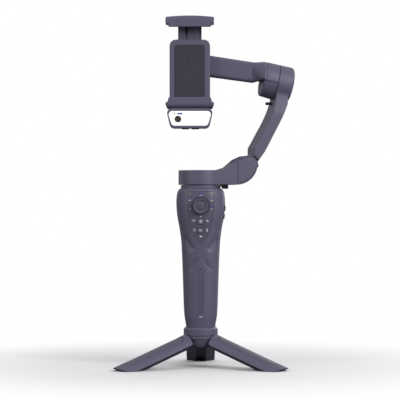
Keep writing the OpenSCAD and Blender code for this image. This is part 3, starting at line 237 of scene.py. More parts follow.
def turned_frame(origin, angle, drop=0.0):
    """A frame turned about the upright by one angle, whose x then slopes down by another."""
    c, s, cd, sd = math.cos(angle), math.sin(angle), math.cos(drop), math.sin(drop)
    return Place(origin, (c * cd, s * cd, -sd), (-s, c, 0), (c * sd, s * sd, cd))


def facing(place, axes, start=0.0, sign=1):
    """A face in a frame: its outline lies along two axes, named xz, xy or yz, and its depth
    runs along the third from a start."""
    def at(u, v, depth):
        third = start + sign * depth
        return place(*{"xz": (u, third, v), "xy": (u, v, third), "yz": (third, u, v)}[axes])
    return at


PAN = joint_place("pan_turn")
KNEE = joint_place("knee_fold")
TILT = joint_place("tilt_turn")
ROLL = joint_place("roll_turn")
PAN_X, PAN_Y, CUP_FOOT = PAN
GRIP_FOOT, GRIP_TOP = low("front_shell")[2], high("front_shell")[2]
KNEE_AT = np.array([float(np.linalg.norm((KNEE - PAN)[:2])), KNEE[2]])
YAW = math.atan2(KNEE[1] - PAN_Y, KNEE[0] - PAN_X)
DROP = -math.asin(JOINTS["tilt_turn"]["axis"][2])
UPRIGHT = Place((PAN_X, PAN_Y, 0))
ARM = turned_frame((PAN_X, PAN_Y, 0), YAW)
TILT_FRAME = turned_frame(TILT, YAW, DROP)
TILT_TURNED = Place(TILT, TILT_FRAME.axes[2], TILT_FRAME.axes[1], TILT_FRAME.axes[0])
CLAMP = Place((ROLL[0], PAN_Y, ROLL[2]))
REARWARD = (1, 0, 0), (0, 0, 1), (0, 1, 0)


# Outlines


def arc(centre, radius, start, end, count=12):
    """Points of a circle's arc between two angles in degrees."""
    angle = np.radians(np.linspace(start, end, count + 1))
    return np.array(centre) + radius * np.stack([np.cos(angle), np.sin(angle)], -1)


def ring(centre, radius, count=64):
    """A whole circle as an outline."""
    return arc(centre, radius, 0, 360, count)[:-1]


def corners(x0, x1, y0, y1):
    """A rectangle's four corners."""
    return np.array([[x0, y0], [x1, y0], [x1, y1], [x0, y1]])


def rounded(points, radius, steps=6):
    """An outline whose corners are parabolas that leave each side a radius before the corner."""
    points = np.asarray(points, float)
    before, after = np.roll(points, 1, 0) - points, np.roll(points, -1, 0) - points
    reach = np.broadcast_to(np.asarray(radius, float), len(points))[:, None]
    size_b, size_a = (np.linalg.norm(side, axis=1, keepdims=True) for side in (before, after))
    reach = np.minimum(reach, 0.49 * np.minimum(size_b, size_a))
    a, c = points + before / size_b * reach, points + after / size_a * reach
    t = np.linspace(0, 1, steps + 1)[None, :, None]
    curve = (1 - t) ** 2 * a[:, None] + 2 * t * (1 - t) * points[:, None] + t**2 * c[:, None]
    return curve.reshape(-1, 2)


def box_outline(centre, width, height, radius=0.8):
    """A rectangle with round corners about a centre."""
    return rounded(corners(-width / 2, width / 2, -height / 2, height / 2) + centre, radius, 4)


def fine(points, step):
    """An outline whose sides are divided so that none is longer than the step."""
    points = np.asarray(points, float)
    ahead = np.roll(points, -1, 0)
    span = np.linalg.norm(ahead - points, axis=1)
    points, ahead, span = points[span > 1e-6], ahead[span > 1e-6], span[span > 1e-6]
    count = np.ceil(span / step).astype(int)
    which = np.repeat(np.arange(len(points)), count)
    share = (np.arange(count.sum()) - np.repeat(np.cumsum(count) - count, count)) / count[which]
    return points[which] + share[:, None] * (ahead - points)[which]


def area(points):
    """Signed area of an outline, positive where it turns to the left."""
    ahead = np.roll(points, -1, 0)
    return 0.5 * np.sum(points[:, 0] * ahead[:, 1] - ahead[:, 0] * points[:, 1])


def grown(points, by):
    """An outline moved outwards: each point goes along the mean of its two sides' normals."""
    side = np.roll(points, -1, 0) - points
    side /= np.linalg.norm(side, axis=1, keepdims=True)
    normal = np.stack([side[:, 1], -side[:, 0]], -1)
    mean = normal + np.roll(normal, 1, 0)
    mean /= np.maximum(np.linalg.norm(mean, axis=1, keepdims=True), 1e-9)
    slant = np.maximum((mean * normal).sum(1), 0.5)
    return points + mean * (by / slant)[:, None]


def sides_of(loops):
    """Start and end points of every side of some outlines."""
    return np.concatenate(loops), np.concatenate([np.roll(loop, -1, 0) for loop in loops])


BLOCK = 4000


def within(points, loops):
    """Whether each point is inside the outer outline and outside its holes: a line to the
    right of it crosses an odd number of sides."""
    a, b = sides_of(loops)
    found = np.zeros(len(points), bool)
    rise = np.where(b[:, 1] == a[:, 1], 1, b[:, 1] - a[:, 1])
    for k in range(0, len(points), BLOCK):
        x, y = points[k:k + BLOCK, :1], points[k:k + BLOCK, 1:]
        spans = (a[:, 1] > y) != (b[:, 1] > y)
        cross = a[:, 0] + (y - a[:, 1]) / rise * (b[:, 0] - a[:, 0])
        found[k:k + BLOCK] = (spans & (x < cross)).sum(1) % 2 == 1
    return found


def distance_to(points, loops):
    """Shortest distance of each point from the sides of some outlines."""
    a, b = sides_of(loops)
    run = b - a
    square = np.maximum((run**2).sum(1), 1e-12)
    found = np.zeros(len(points))
    for k in range(0, len(points), BLOCK):
        away = points[k:k + BLOCK, None] - a
        share = np.clip((away * run).sum(2) / square, 0, 1)
        found[k:k + BLOCK] = np.sqrt(((away - share[..., None] * run) ** 2).sum(2).min(1))
    return found


# Surfaces


def grid_faces(rows, columns, wrap_rows=False, wrap_columns=False):
    """Four-cornered faces of a grid of points, which may close on itself either way."""
    i = np.arange(rows if wrap_rows else rows - 1)[:, None]
    j = np.arange(columns if wrap_columns else columns - 1)[None, :]
    ahead, beside = (i + 1) % rows, (j + 1) % columns
    quad = [i * columns + j, i * columns + beside, ahead * columns + beside, ahead * columns + j]
    return np.stack(np.broadcast_arrays(*quad), -1).reshape(-1, 4)


def turned(place, profile, steps=96, loop=False, reshape=None):
    """A profile of radius and height turned about a frame's z: the point at angle a and
    radius r is (r cos a, r sin a, height). Reshape may move each point first."""
    profile = np.asarray(profile, float)
    angle = np.linspace(0, 2 * math.pi, steps, endpoint=False)
    r, h, angle = np.broadcast_arrays(profile[:, :1], profile[:, 1:], angle)
    if reshape is not None:
        r, h = reshape(r, h, angle)
    points = place(r * np.cos(angle), r * np.sin(angle), h)
    return points.reshape(-1, 3), [grid_faces(len(profile), steps, loop, True)]


def loft(rings):
    """A closed skin over rings of points, whose two ends are fans about their middles."""
    rows, columns = rings.shape[:2]
    count, around = rows * columns, np.arange(columns)
    ahead, last = np.roll(around, -1), count - columns
    ends = [np.stack([np.full(columns, count), around, ahead], -1),
            np.stack([np.full(columns, count + 1), last + ahead, last + around], -1)]
    middles = np.stack([rings[0].mean(0), rings[-1].mean(0)])
    points = np.concatenate([rings.reshape(-1, 3), middles])
    return points, [grid_faces(rows, columns, False, True), *ends]


def filled(loops, extra):
    """Triangles between outlines and loose points inside them. Those that touch no loose
    point are kept where their middle is inside."""
    points = np.concatenate([*loops, extra])
    edge, start = [], 0
    for loop in loops:
        index = np.arange(len(loop)) + start
        edge.append(np.stack([index, np.roll(index, -1)], -1))
        start += len(loop)
    found = delaunay_2d_cdt([Vector(p) for p in points.tolist()],
                            np.concatenate(edge).tolist(), [], 0, 1e-9)
    source = np.array([rest[0] if rest else -1 for rest in found[3]])
    triangles = source[np.array(found[2])]
    triangles = triangles[(triangles >= 0).all(1)]
    inner = (triangles >= start).any(1)
    inner[~inner] = within(points[triangles[~inner]].mean(1), loops)
    return triangles[inner]


def spots(loops, spacing, finer=()):
    """Loose points inside outlines in staggered rows, clear of every side, and closer
    together in the boxes given as x from and to, z from and to, and spacing."""
    def rows(x0, x1, z0, z1, step):
        x, z = np.meshgrid(np.arange(x0, x1, step), np.arange(z0, z1, step * 0.87))
        x = x + (np.arange(len(z)) % 2)[:, None] * step / 2
        points = np.stack([x.ravel(), z.ravel()], -1)
        points = points[within(points, loops)]
        return points[distance_to(points, loops) > 0.5 * step] if len(points) else points
    corner, other = loops[0].min(0), loops[0].max(0)
    wide = rows(corner[0], other[0], corner[1], other[1], spacing)
    parts = []
    for x0, x1, z0, z1, step in finer:
        outside = (wide[:, 0] < x0) | (wide[:, 0] > x1) | (wide[:, 1] < z0) | (wide[:, 1] > z1)
        wide = wide[outside]
        parts.append(rows(x0 + step / 2, x1, z0 + step / 2, z1, step))
    return np.concatenate([wide, *parts])


HOLE_EDGE = 0.3


def rim_rings(loop, outer, top, bottom, edge, foot, walls, steps, deep, flat):
    """Insets and depths of the rings down a plate's rim. Along the top, the ring at angle t
    stands edge * (1 - sin t) inside the outline and deep * (1 - cos t) under the face, and
    flat is the share by which it is a straight bevel instead."""
    edge, deep, flat = (value(loop) if callable(value) and outer else value
                        for value in (edge, deep, flat))
    edge = HOLE_EDGE if callable(edge) else edge
    deep = edge if deep is None or callable(deep) else deep
    flat = 0.0 if callable(flat) else flat
    full = np.linspace(0, math.pi / 2, steps + 1) if np.any(edge > 0) else [math.pi / 2]
    rings = []
    for t in full:
        share = t * 2 / math.pi
        rings.append((edge * ((1 - flat) * (1 - math.sin(t)) + flat * (1 - share)),
                      top + deep * ((1 - flat) * (1 - math.cos(t)) + flat * share)))
    last, end = rings[-1][1], bottom - foot
    rings += [(0.0, last + (end - last) * k / walls) for k in range(1, walls + (foot <= 0))]
    if foot > 0:
        rings += [(foot * (1 - math.sin(t)), bottom - foot * (1 - math.cos(t)))
                  for t in np.linspace(math.pi / 2, 0, steps + 1)]
    return rings


def plate(place, outline, holes=(), top=0.0, bottom=1.0, edge=0.3, foot=0.0, spacing=4.0,
          step=1.2, relief=None, finer=(), walls=1, steps=4, deep=None, flat=0.0,
          flat_back=True):
    """A plate with holes between two depths under a face. Its rim turns into the face along
    a quarter ellipse, and relief is the depth pressed into the face, which fades out halfway
    down the rim."""
    loops = [fine(loop, step) for loop in [outline, *holes]]
    loops = [loop if area(loop) > 0 else loop[::-1] for loop in loops]
    stack, starts, faces, count = [], [], [], 0
    for k, loop in enumerate(loops):
        rings = rim_rings(loop, k == 0, top, bottom, edge, foot, walls, steps, deep, flat)
        rows = np.stack([
            np.column_stack([grown(loop, inset if k else -inset),
                             np.broadcast_to(np.asarray(depth, float), len(loop))])
            for inset, depth in rings])
        stack.append(rows)
        starts.append(count)
        faces.append(grid_faces(len(rings), len(loop), False, True) + count)
        count += len(rings) * len(loop)
    points = [rows.reshape(-1, 3) for rows in stack]
    for end, depth in ((0, top), (-1, bottom)):
        rims = [rows[end, :, :2] for rows in stack]
        gap = spacing if end == 0 or not flat_back else max(spacing * 2, 3.0)
        loose = spots(rims, gap, finer if end == 0 else ())
        index = [start + (end % len(rows)) * rows.shape[1] + np.arange(rows.shape[1])
                 for start, rows in zip(starts, stack)]
        index = np.concatenate([*index, count + np.arange(len(loose))])
        triangles = index[filled(rims, loose)]
        faces.append(triangles if end == 0 else triangles[:, ::-1])
        points.append(np.column_stack([loose, np.full(len(loose), float(depth))]))
        count += len(loose)
    points = np.concatenate(points)
    if relief is not None:
        reach = np.clip(1 - (points[:, 2] - top) / max(0.5 * (bottom - top), 1e-6), 0, 1)
        points[:, 2] += relief(points[:, 0], points[:, 1]) * reach
    return place(*points.T), faces


def cad_copy(node, inset=0.0, sunk=0.0):
    """Points and faces of a CAD node's mesh, whose loose triangles are welded and whose flat
    faces are merged. An inset draws its two long directions in towards the middle, and sunk
    lowers it along its thin direction."""
    made = bmesh.new()
    made.from_mesh(frame["nodes"][node].data)
    bmesh.ops.remove_doubles(made, verts=made.verts, dist=2e-6)
    bmesh.ops.dissolve_limit(made, angle_limit=math.radians(1.5), verts=made.verts,
                             edges=made.edges)
    made.verts.index_update()
    points = np.array([v.co for v in made.verts])
    faces = [np.array([[v.index for v in face.verts]]) for face in made.faces]
    made.free()
    if inset:
        middle = (points.max(0) + points.min(0)) / 2
        axes = np.linalg.svd(points - points.mean(0), full_matrices=False)[2]
        points = points - axes[2] * np.sign(axes[2][2]) * sunk * MM
        for axis in axes[:2]:
            along = (points - middle) @ axis
            points = points - np.outer(along / np.abs(along).max() * inset * MM, axis)
    return points, faces


def piece(name, parts, material, body, replaces=(), smooth=32.0, bevel=0.0):
    """One object from parts of points and faces. Doubled points are welded and the faces
    turned outwards."""
    points, faces, count = [], [], 0
    for part_points, part_faces in parts:
        points.append(part_points)
        for block in part_faces:
            faces += (np.asarray(block) + count).tolist()
        count += len(part_points)
    mesh = bpy.data.meshes.new(name)
    mesh.from_pydata(np.concatenate(points).tolist(), [], faces)
    made = bmesh.new()
    made.from_mesh(mesh)
    bmesh.ops.remove_doubles(made, verts=made.verts, dist=1e-6)
    bmesh.ops.dissolve_degenerate(made, dist=1e-7, edges=made.edges)
    bmesh.ops.recalc_face_normals(made, faces=made.faces)
    made.to_mesh(mesh)
    made.free()
    mesh.materials.append(finish(material))
    mesh.polygons.foreach_set("use_smooth", np.ones(len(mesh.polygons), bool))
    mesh.set_sharp_from_angle(angle=math.radians(smooth))
    made = bpy.data.objects.new(name, mesh)
    bpy.context.scene.collection.objects.link(made)
    if bevel:
        soft = made.modifiers.new("Rounded edges", "BEVEL")
        soft.width, soft.segments = bevel * MM, 3
        soft.limit_method, soft.angle_limit = "ANGLE", math.radians(32)
        soft.use_clamp_overlap, soft.harden_normals = True, False
    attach(made, body)
    if replaces:
        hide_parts(*replaces)
    return made


# Materials


def add_node(tree, kind, settings=None, inputs=None):
    """Any node: its settings are set first, then its sockets get values or links."""
    made = tree.nodes.new(kind)
    for key, value in (settings or {}).items():
        setattr(made, key, value)
    for key, value in (inputs or {}).items():
        value = value.socket if isinstance(value, Value) else value
        if isinstance(value, bpy.types.NodeSocket):
            tree.links.new(value, made.inputs[key])
        else:
            made.inputs[key].default_value = value
    return made


class Value:
    """A number that varies over a surface. Sums on it add Math nodes."""

    def __init__(self, tree, socket):
        self.tree, self.socket = tree, socket

    def math_node(self, operation, *operands):
        """A Math node on some operands, or on the value alone."""
        operands = operands or (self,)
        node = add_node(self.tree, "ShaderNodeMath", {"operation": operation},
                        dict(enumerate(operands)))
        return Value(self.tree, node.outputs[0])

    def __add__(self, other):
        return self.math_node("ADD", self, other)

    def __sub__(self, other):
        return self.math_node("SUBTRACT", self, other)

    def __rsub__(self, other):
        return self.math_node("SUBTRACT", other, self)

    def __mul__(self, other):
        return self.math_node("MULTIPLY", self, other)

    __radd__, __rmul__ = __add__, __mul__

    def over(self, other):
        """One where it is over another value, and zero elsewhere."""
        return self.math_node("GREATER_THAN", self, other)

    def size(self):
        """Its distance from zero."""
        return self.math_node("ABSOLUTE")

    def wave(self, pitch):
        """A sine of 0 to 1 that repeats every pitch."""
        return (self * (2 * math.pi / pitch)).math_node("SINE") * 0.5 + 0.5


class Finish:
    """A material with one shader, whose other nodes are added by type."""

    def __init__(self, name, base, roughness, metallic=0.0, coat=0.0):
        self.material = bpy.data.materials.new(name)
        self.material.use_nodes = True
        self.tree = self.material.node_tree
        self.tree.nodes.clear()
        self.base = tuple(base)[:3]
        self.shader = self.node("ShaderNodeBsdfPrincipled", {}, {
            "Base Color": (*self.base, 1), "Roughness": roughness, "Metallic": metallic,
            "Coat Weight": coat, "Specular IOR Level": 0.4})
        self.node("ShaderNodeOutputMaterial", {}, {"Surface": self.shader.outputs[0]})
        self.place = self.node("ShaderNodeTexCoord").outputs["Object"]
        self.relief = None
        self.material.diffuse_color = (*self.base, 1)

    def node(self, kind, settings=None, inputs=None):
        """A node of the material's own tree."""
        return add_node(self.tree, kind, settings, inputs)

    def noise(self, size, detail=2.0, stretch=None):
        """Smooth noise of 0 to 1 whose patches are about a size across, in millimetres."""
        where = self.place if stretch is None else self.node(
            "ShaderNodeMapping", {"vector_type": "POINT"},
            {"Vector": self.place, "Scale": stretch}).outputs[0]
        made = self.node("ShaderNodeTexNoise", {}, {
            "Vector": where, "Scale": 1 / (size * MM), "Detail": detail, "Roughness": 0.5})
        return Value(self.tree, made.outputs[0])

    def axis(self, name, centre=0.0):
        """One coordinate in millimetres from a centre."""
        split = self.node("ShaderNodeSeparateXYZ", {}, {"Vector": self.place})
        return Value(self.tree, split.outputs[name]) * (1 / MM) - centre

    def set(self, socket, value):
        """Links a varying value or colour to the shader."""
        value = value.socket if isinstance(value, Value) else value
        self.tree.links.new(value, self.shader.inputs[socket])

    def blend(self, socket, share, first, second):
        """Sets a colour that goes from one colour to another with a share."""
        mix = self.node("ShaderNodeMix", {"data_type": "RGBA"},
                        {0: share, 6: (*first, 1), 7: (*second, 1)})
        self.set(socket, mix.outputs[2])

    def shades(self, share, dark, light, socket="Base Color"):
        """Sets a colour between two shades of the base, each given as a factor."""
        self.blend(socket, share, *([min(1.0, part * by) for part in self.base]
                                    for by in (dark, light)))

    def bump(self, height, depth):
        """Adds a relief: a height of 0 to 1 that stands for a depth in millimetres."""
        inputs = {"Height": height, "Distance": depth * MM, "Strength": 1.0}
        if self.relief is not None:
            inputs["Normal"] = self.relief
        self.relief = self.node("ShaderNodeBump", {}, inputs).outputs[0]
        self.set("Normal", self.relief)


def moulded(name, colour, roughness=0.5, grain=0.35):
    """Moulded plastic: a fine spark-eroded grain, and slow changes of tone and gloss."""
    made = Finish(name, colour, roughness)
    slow, grainy = made.noise(26), made.noise(grain)
    made.shades(slow * 0.6 + grainy * 0.4, 0.93, 1.07)
    made.set("Roughness", slow * 0.10 + grainy * 0.06 + (roughness - 0.08))
    made.bump(grainy, 0.012)
    return made.material


def satin(name, colour, roughness=0.36):
    """A smooth satin face with faint marks of handling."""
    made = Finish(name, colour, roughness)
    slow, handled = made.noise(14, 3), made.noise(1.6, 2, (1, 1, 0.15))
    made.shades(slow, 0.95, 1.05)
    made.set("Roughness", slow * 0.14 + handled * 0.06 + (roughness - 0.1))
    made.bump(made.noise(0.5, 1), 0.004)
    return made.material


def soft_rubber(name, colour, rib=0.0, axis="X"):
    """Matt rubber with a dusty tone, and ribs of a pitch across one axis where it has them."""
    made = Finish(name, colour, 0.78)
    dust, pores = made.noise(9, 3), made.noise(0.45, 1)
    made.shades(dust, 0.86, 1.12)
    made.set("Roughness", dust * 0.12 + 0.7)
    made.bump(pores, 0.02)
    if rib:
        made.bump(made.axis(axis).wave(rib), 0.25)
    return made.material


def ground_steel(name, colour, stretch=(1, 1, 0.04), roughness=0.34):
    """Ground metal, with fine scratches drawn out along one axis."""
    made = Finish(name, colour, roughness, 1.0)
    scratch, tone = made.noise(0.25, 3, stretch), made.noise(6)
    made.shades(tone, 0.85, 1.1)
    made.set("Roughness", scratch * 0.16 + (roughness - 0.08))
    made.bump(scratch, 0.006)
    return made.material


def copper_winding(name, colour, axis):
    """Wound copper wire: turns of a pitch side by side along an axis."""
    made = Finish(name, colour, 0.35, 1.0)
    tone = made.noise(3)
    turns = made.axis(axis).wave(0.5)
    made.blend("Base Color", turns, (0.3, 0.12, 0.05), (0.62, 0.29, 0.12))
    made.set("Roughness", tone * 0.2 + 0.28)
    made.bump(turns, 0.12)
    return made.material


def circuit_board(name, colour):
    """A green board with copper tracks under its lacquer."""
    made = Finish(name, colour, 0.4)
    tracks = (made.axis("Z").wave(2.992) + made.axis("X").wave(2.327)).over(1.45)
    made.blend("Base Color", tracks, (0.02, 0.085, 0.045), (0.06, 0.17, 0.08))
    made.set("Roughness", tracks * 0.12 + 0.32)
    made.bump(tracks, 0.05)
    return made.material


def wrapped_cell(name, colour, middle=78, half=30.5):
    """A battery cell in printed film, with a dark band past half a length each way."""
    made = Finish(name, colour, 0.3)
    made.blend("Base Color", made.axis("Z", middle).size().over(half), colour, (0.03, 0.05, 0.1))
    made.set("Roughness", made.noise(8) * 0.15 + 0.22)
    made.bump(made.noise(2.5), 0.03)
    return made.material


def small_light(name, colour, glow):
    """A small tinted lens, brighter where its light shows through."""
    made = Finish(name, colour, 0.25, coat=0.4)
    cloud = made.noise(0.6, 1)
    made.shades(cloud, 0.75, 1.25)
    made.shades(cloud, 0.8, 1.2, "Emission Color")
    made.shader.inputs["Emission Strength"].default_value = glow
    made.set("Roughness", cloud * 0.1 + 0.2)
    return made.material


def frosted(name, colour):
    """A frosted white panel with a faint pearly grain."""
    made = Finish(name, colour, 0.42)
    cloud, grain = made.noise(10), made.noise(0.3, 1)
    made.shades(cloud, 0.97, 1.0)
    made.blend("Emission Color", cloud, (0.93, 0.94, 0.95), (1, 1, 1))
    made.shader.inputs["Emission Strength"].default_value = 0.22
    made.set("Roughness", grain * 0.1 + 0.36)
    made.bump(grain, 0.01)
    return made.material


def smoked(name, colour):
    """A smoked window: dark gloss with a cloudy brown tone."""
    made = Finish(name, colour, 0.16, coat=0.5)
    cloud = made.noise(2)
    made.shades(cloud, 0.6, 1.3)
    made.set("Roughness", cloud * 0.08 + 0.1)
    return made.material


def printed(name, colour):
    """Matt ink, a little thinner in places."""
    made = Finish(name, colour, 0.6)
    worn = made.noise(0.5)
    made.shades(worn, 0.82, 1.08)
    made.set("Roughness", worn * 0.1 + 0.55)
    return made.material


COPPER, STEEL, BRASS = (0.5, 0.22, 0.09), (0.5, 0.5, 0.52), (0.6, 0.42, 0.18)
FINISHES = {
    "body": (moulded, "Moulded housing", "body"),
    "panel": (satin, "Satin keypad", "panel"),
    "dark": (moulded, "Dark trim", "dark", 0.45, 0.3),
    "knob": (soft_rubber, "Joystick rubber", "knob"),
    "pads": (soft_rubber, "Jaw pad rubber", "pads", 2.0, "X"),
    "mark": (printed, "Printed marks", "mark"),
    "glow": (small_light, "Blue light", "glow", 0.12),
    "ready": (small_light, "Ready light", "ready", 0.15),
    "white": (frosted, "Frosted panel", "white"),
    "lens": (smoked, "Smoked lens", "lens"),
    "steel": (ground_steel, "Ground steel", STEEL),
    "brass": (ground_steel, "Turned brass", BRASS, (1, 1, 1), 0.3),
    "board": (circuit_board, "Circuit board", (0.03, 0.1, 0.06)),
    "cell": (wrapped_cell, "Battery film", (0.07, 0.19, 0.43)),
    "pan_copper": (copper_winding, "Pan winding", COPPER, "Z"),
    "copper": (copper_winding, "Arm winding", COPPER, "X"),
    "roll_copper": (copper_winding, "Roll winding", COPPER, "Y"),
}
_made_finishes = {}


def finish(name):
    """One of the gimbal's materials, made when first asked for. A colour given by name is
    the user's own."""
    if name not in _made_finishes:
        maker, title, colour, *rest = FINISHES[name]
        if isinstance(colour, str):
            colour = getattr(bpy.context.scene.gimbal_colour, colour)
        _made_finishes[name] = maker(title, colour, *rest)
    return _made_finishes[name]


# Grip

# Share of the height, then shares of the half width and of the half depth there.
GRIP_ROWS = np.array([
    [0, 0.600, 0.68], [0.017, 0.609, 0.69], [0.046, 0.638, 0.715], [0.075, 0.664, 0.735],
    [0.133, 0.690, 0.75], [0.307, 0.723, 0.78], [0.510, 0.764, 0.82], [0.626, 0.803, 0.86],
    [0.713, 0.867, 0.92], [0.800, 0.958, 0.98], [0.887, 1.000, 1.00], [0.946, 0.985, 0.99],
    [0.974, 0.952, 0.975], [0.996, 0.878, 0.95], [1.000, 0.820, 0.93],
])


def smooth_rows(rows, share, column):
    """A smooth value from a table: a cubic between rows whose slope at each row is that of
    the line between its two neighbours."""
    i = np.clip(np.searchsorted(rows[:, 0], share, "right") - 1, 0, len(rows) - 2)
    x, y = rows[:, 0], rows[:, column]
    step = np.arange(len(x))
    back, ahead = np.maximum(step - 1, 0), np.minimum(step + 1, len(x) - 1)
    slope = (y[ahead] - y[back]) / (x[ahead] - x[back])
    h = x[i + 1] - x[i]
    t = (share - x[i]) / h
    return ((2 * t**3 - 3 * t**2 + 1) * y[i] + (t**3 - 2 * t**2 + t) * h * slope[i]
            + (3 * t**2 - 2 * t**3) * y[i + 1] + (t**3 - t**2) * h * slope[i + 1])


def ramp(value, start, run):
    """A share that goes from 0 at a start to 1 a run further."""
    return np.clip((value - start) / run, 0, 1)


def signed_power(value, power):
    """A power of a value's size, with the value's own sign."""
    return np.sign(value) * np.abs(value) ** power


class GripForm:
    """The grip's skin. At each height it is the curve |x / w|^n + |y / d|^n = 1, whose half
    width w and half depth d follow the table of rows."""

    power = 2.4

    def __init__(self, grip):
        self.width, self.depth = grip.width / 2, grip.depth / 2
        self.angle = np.radians(np.linspace(-60, 240, 3001))
        x, y = self.curve(self.angle)
        run = np.concatenate([[0], np.cumsum(np.hypot(np.diff(x * self.width),
                                                      np.diff(y * self.depth)))])
        self.run = run - np.interp(math.pi / 2, self.angle, run)

    def curve(self, angle, power=power):
        """The curve's point at an angle of its parameter, as shares of w and d."""
        return (signed_power(np.cos(angle), 2 / power), signed_power(np.sin(angle), 2 / power))

    def halves(self, z):
        """Half width and half depth at a height, by the table of rows."""
        share = np.clip((np.asarray(z, float) - GRIP_FOOT) / (GRIP_TOP - GRIP_FOOT), 0, 1)
        return (self.width * smooth_rows(GRIP_ROWS, share, 1),
                self.depth * smooth_rows(GRIP_ROWS, share, 2))

    def point(self, cx, cy, z, depth):
        """A place under the skin: the point at shares cx and cy of the half width and half
        depth, less the depth along the skin's normal, which is the gradient of its formula
        and lies level at both ends."""
        n, near = self.power, 0.2
        w, d = self.halves(z)
        (w0, d0), (w1, d1) = self.halves(z - near), self.halves(z + near)
        gx, gy = signed_power(cx, n - 1) / w, signed_power(cy, n - 1) / d
        gz = -(np.abs(cx) ** n * (w1 - w0) / w + np.abs(cy) ** n * (d1 - d0) / d) / (2 * near)
        gz = np.where((z < GRIP_FOOT + 0.5) | (z > GRIP_TOP - 0.6), 0, gz)
        size = np.sqrt(gx**2 + gy**2 + gz**2)
        return UPRIGHT(w * cx - depth * gx / size, d * cy - depth * gy / size,
                       np.clip(z - depth * gz / size, GRIP_FOOT, GRIP_TOP))

    def across(self, share):
        """The curve's other share, (1 - |share|^n)^(1 / n)."""
        return (1 - np.minimum(np.abs(share), 0.9999) ** self.power) ** (1 / self.power)

    def front(self, x, z, depth):
        """A place on the front, by its x and height."""
        cx = np.clip(x / self.halves(z)[0], -0.999, 0.999)
        return self.point(cx, -self.across(cx), z, depth)

    def right(self, y, z, depth):
        """A place on the right side, by its y and height."""
        cy = np.clip(y / self.halves(z)[1], -0.999, 0.999)
        return self.point(self.across(cy), cy, z, depth)

    def around(self, run, z, depth):
        """A place by its distance around the grip from the middle of its back."""
        return self.point(*self.curve(np.interp(run, self.run, self.angle)), z, depth)

    def unrolled(self, points, side):
        """An outline on the right, left or back, in y or x and height, as distance around
        the grip and height."""
        points = fine(points, 0.8)
        share = points[:, 0] / self.halves(points[:, 1])[0 if side == "back" else 1]
        share = signed_power(share, self.power / 2)
        angle = np.arccos(share) if side == "back" else np.arcsin(share)
        angle = math.pi - angle if side == "left" else angle
        return np.stack([np.interp(angle, self.angle, self.run), points[:, 1]], -1)


# Outlines as shares of a half width and a height, and the lights' places on the panel.
PAD_SHARES = np.array([[1, 0], [0.9, 0.39], [0.727, 0.713], [0.51, 0.854], [0.3, 0.96], [0.05, 1]])
PAD_CORNERS = [1, 4, 5, 5, 9, 0.9]
RECORD_SHARES = np.array([[-1, -1], [1, -1], [1, 0.35], [0, 1], [-1, 0.35]])
MODE_SHARES = np.array([[-1, 1], [-1, -0.35], [0, -1], [1, -0.35], [1, 1]])
LIGHT_SPOTS = np.array([[0, 0.05], [-0.86, 0.135], [-0.84, 0.3], [0.88, 0.135], [0.84, 0.3]])
STICK_Z, RECORD_Z, MODE_Z = GRIP_TOP - 16.2, GRIP_TOP - 30.4, GRIP_TOP - 39.4
STICK_GAP, KEY_GAP, LIGHT_HOLE, CHARGE_HOLE = 1.5, 0.25, 0.82, 0.57
PAD_UNDER = 0.95
STRIP_FOOT, STRIP_TOP = 50.6, 92.6
CHARGE_SPOTS = 53.3 + 4.35 * np.arange(4)
SIDE_Y, ZOOM_Z, POWER_Z = -4.5, GRIP_TOP - 18.7, GRIP_TOP - 26.2
TRIGGER_Z, TRIGGER_HIGH, TRIGGER_LOW = GRIP_TOP - 12.0, 2.35, 18.8
PORT_Z = GRIP_TOP - 52
BOSS_SPOTS = ((0, 0.023), (-0.25, 0.7), (0.25, 0.7))
CROSS_MIDDLE = 106.0
# Start and end of a line, the width and step beside it, and how far its two ends fade.
CROSS_ARMS = [
    (13.6, 20.2, 3.2, 4.0, 3.4, 6.0, 6.0, 5.0),
    (0.6, -2.8, 10.6, -17.4, -4.2, 0.7, 7.0, 8.0),
]


def pad_outline(keypad, grow=0.0):
    """The keypad panel's shield-shaped outline, with soft corners."""
    x = PAD_SHARES[:, 0] * (keypad.width / 2 + grow)
    z = GRIP_TOP - keypad.drop + grow - PAD_SHARES[:, 1] * (keypad.height + 2 * grow)
    half = np.stack([x, z], -1)
    return rounded(np.concatenate([half[::-1], half * [-1, 1]]), [*PAD_CORNERS, *PAD_CORNERS[::-1]])


def key_outline(keypad, shares, middle, grow=0.0):
    """A front key's five-sided outline."""
    half = np.array([keypad.key_width / 2 + grow, keypad.key_height / 2 + grow])
    return rounded(shares * half + [0, middle], 0.9 + grow, 4)


def strip_outline(keypad, grow=0.0):
    """The charge strip's outline, pointed at its top."""
    w = keypad.strip / 2 + grow
    foot, top = STRIP_FOOT - grow, STRIP_TOP + grow
    return rounded([[-w, foot], [w, foot], [w, top - w], [0, top], [-w, top - w]], 0.4, 3)


def light_spots(keypad):
    """Middles of the mode lights."""
    return LIGHT_SPOTS * [keypad.width / 2, -keypad.height] + [0, GRIP_TOP - keypad.drop]


def pad_holes(keypad, gap):
    """Holes for the joystick, the two keys with a gap round them and the mode lights."""
    return [ring((0, STICK_Z), keypad.knob + STICK_GAP),
            key_outline(keypad, RECORD_SHARES, RECORD_Z, gap),
            key_outline(keypad, MODE_SHARES, MODE_Z, gap),
            *(ring(spot, LIGHT_HOLE, 20) for spot in light_spots(keypad))]


def charge_holes():
    """Holes for the charge lights."""
    return [ring((0, at), CHARGE_HOLE, 16) for at in CHARGE_SPOTS]


def side_holes(keypad):
    """Windows for the zoom slider and the power button."""
    return [box_outline((SIDE_Y, at), keypad.side_key + 0.5, height, 0.5)
            for at, height in ((ZOOM_Z, 8.2), (POWER_Z, 5.1))]


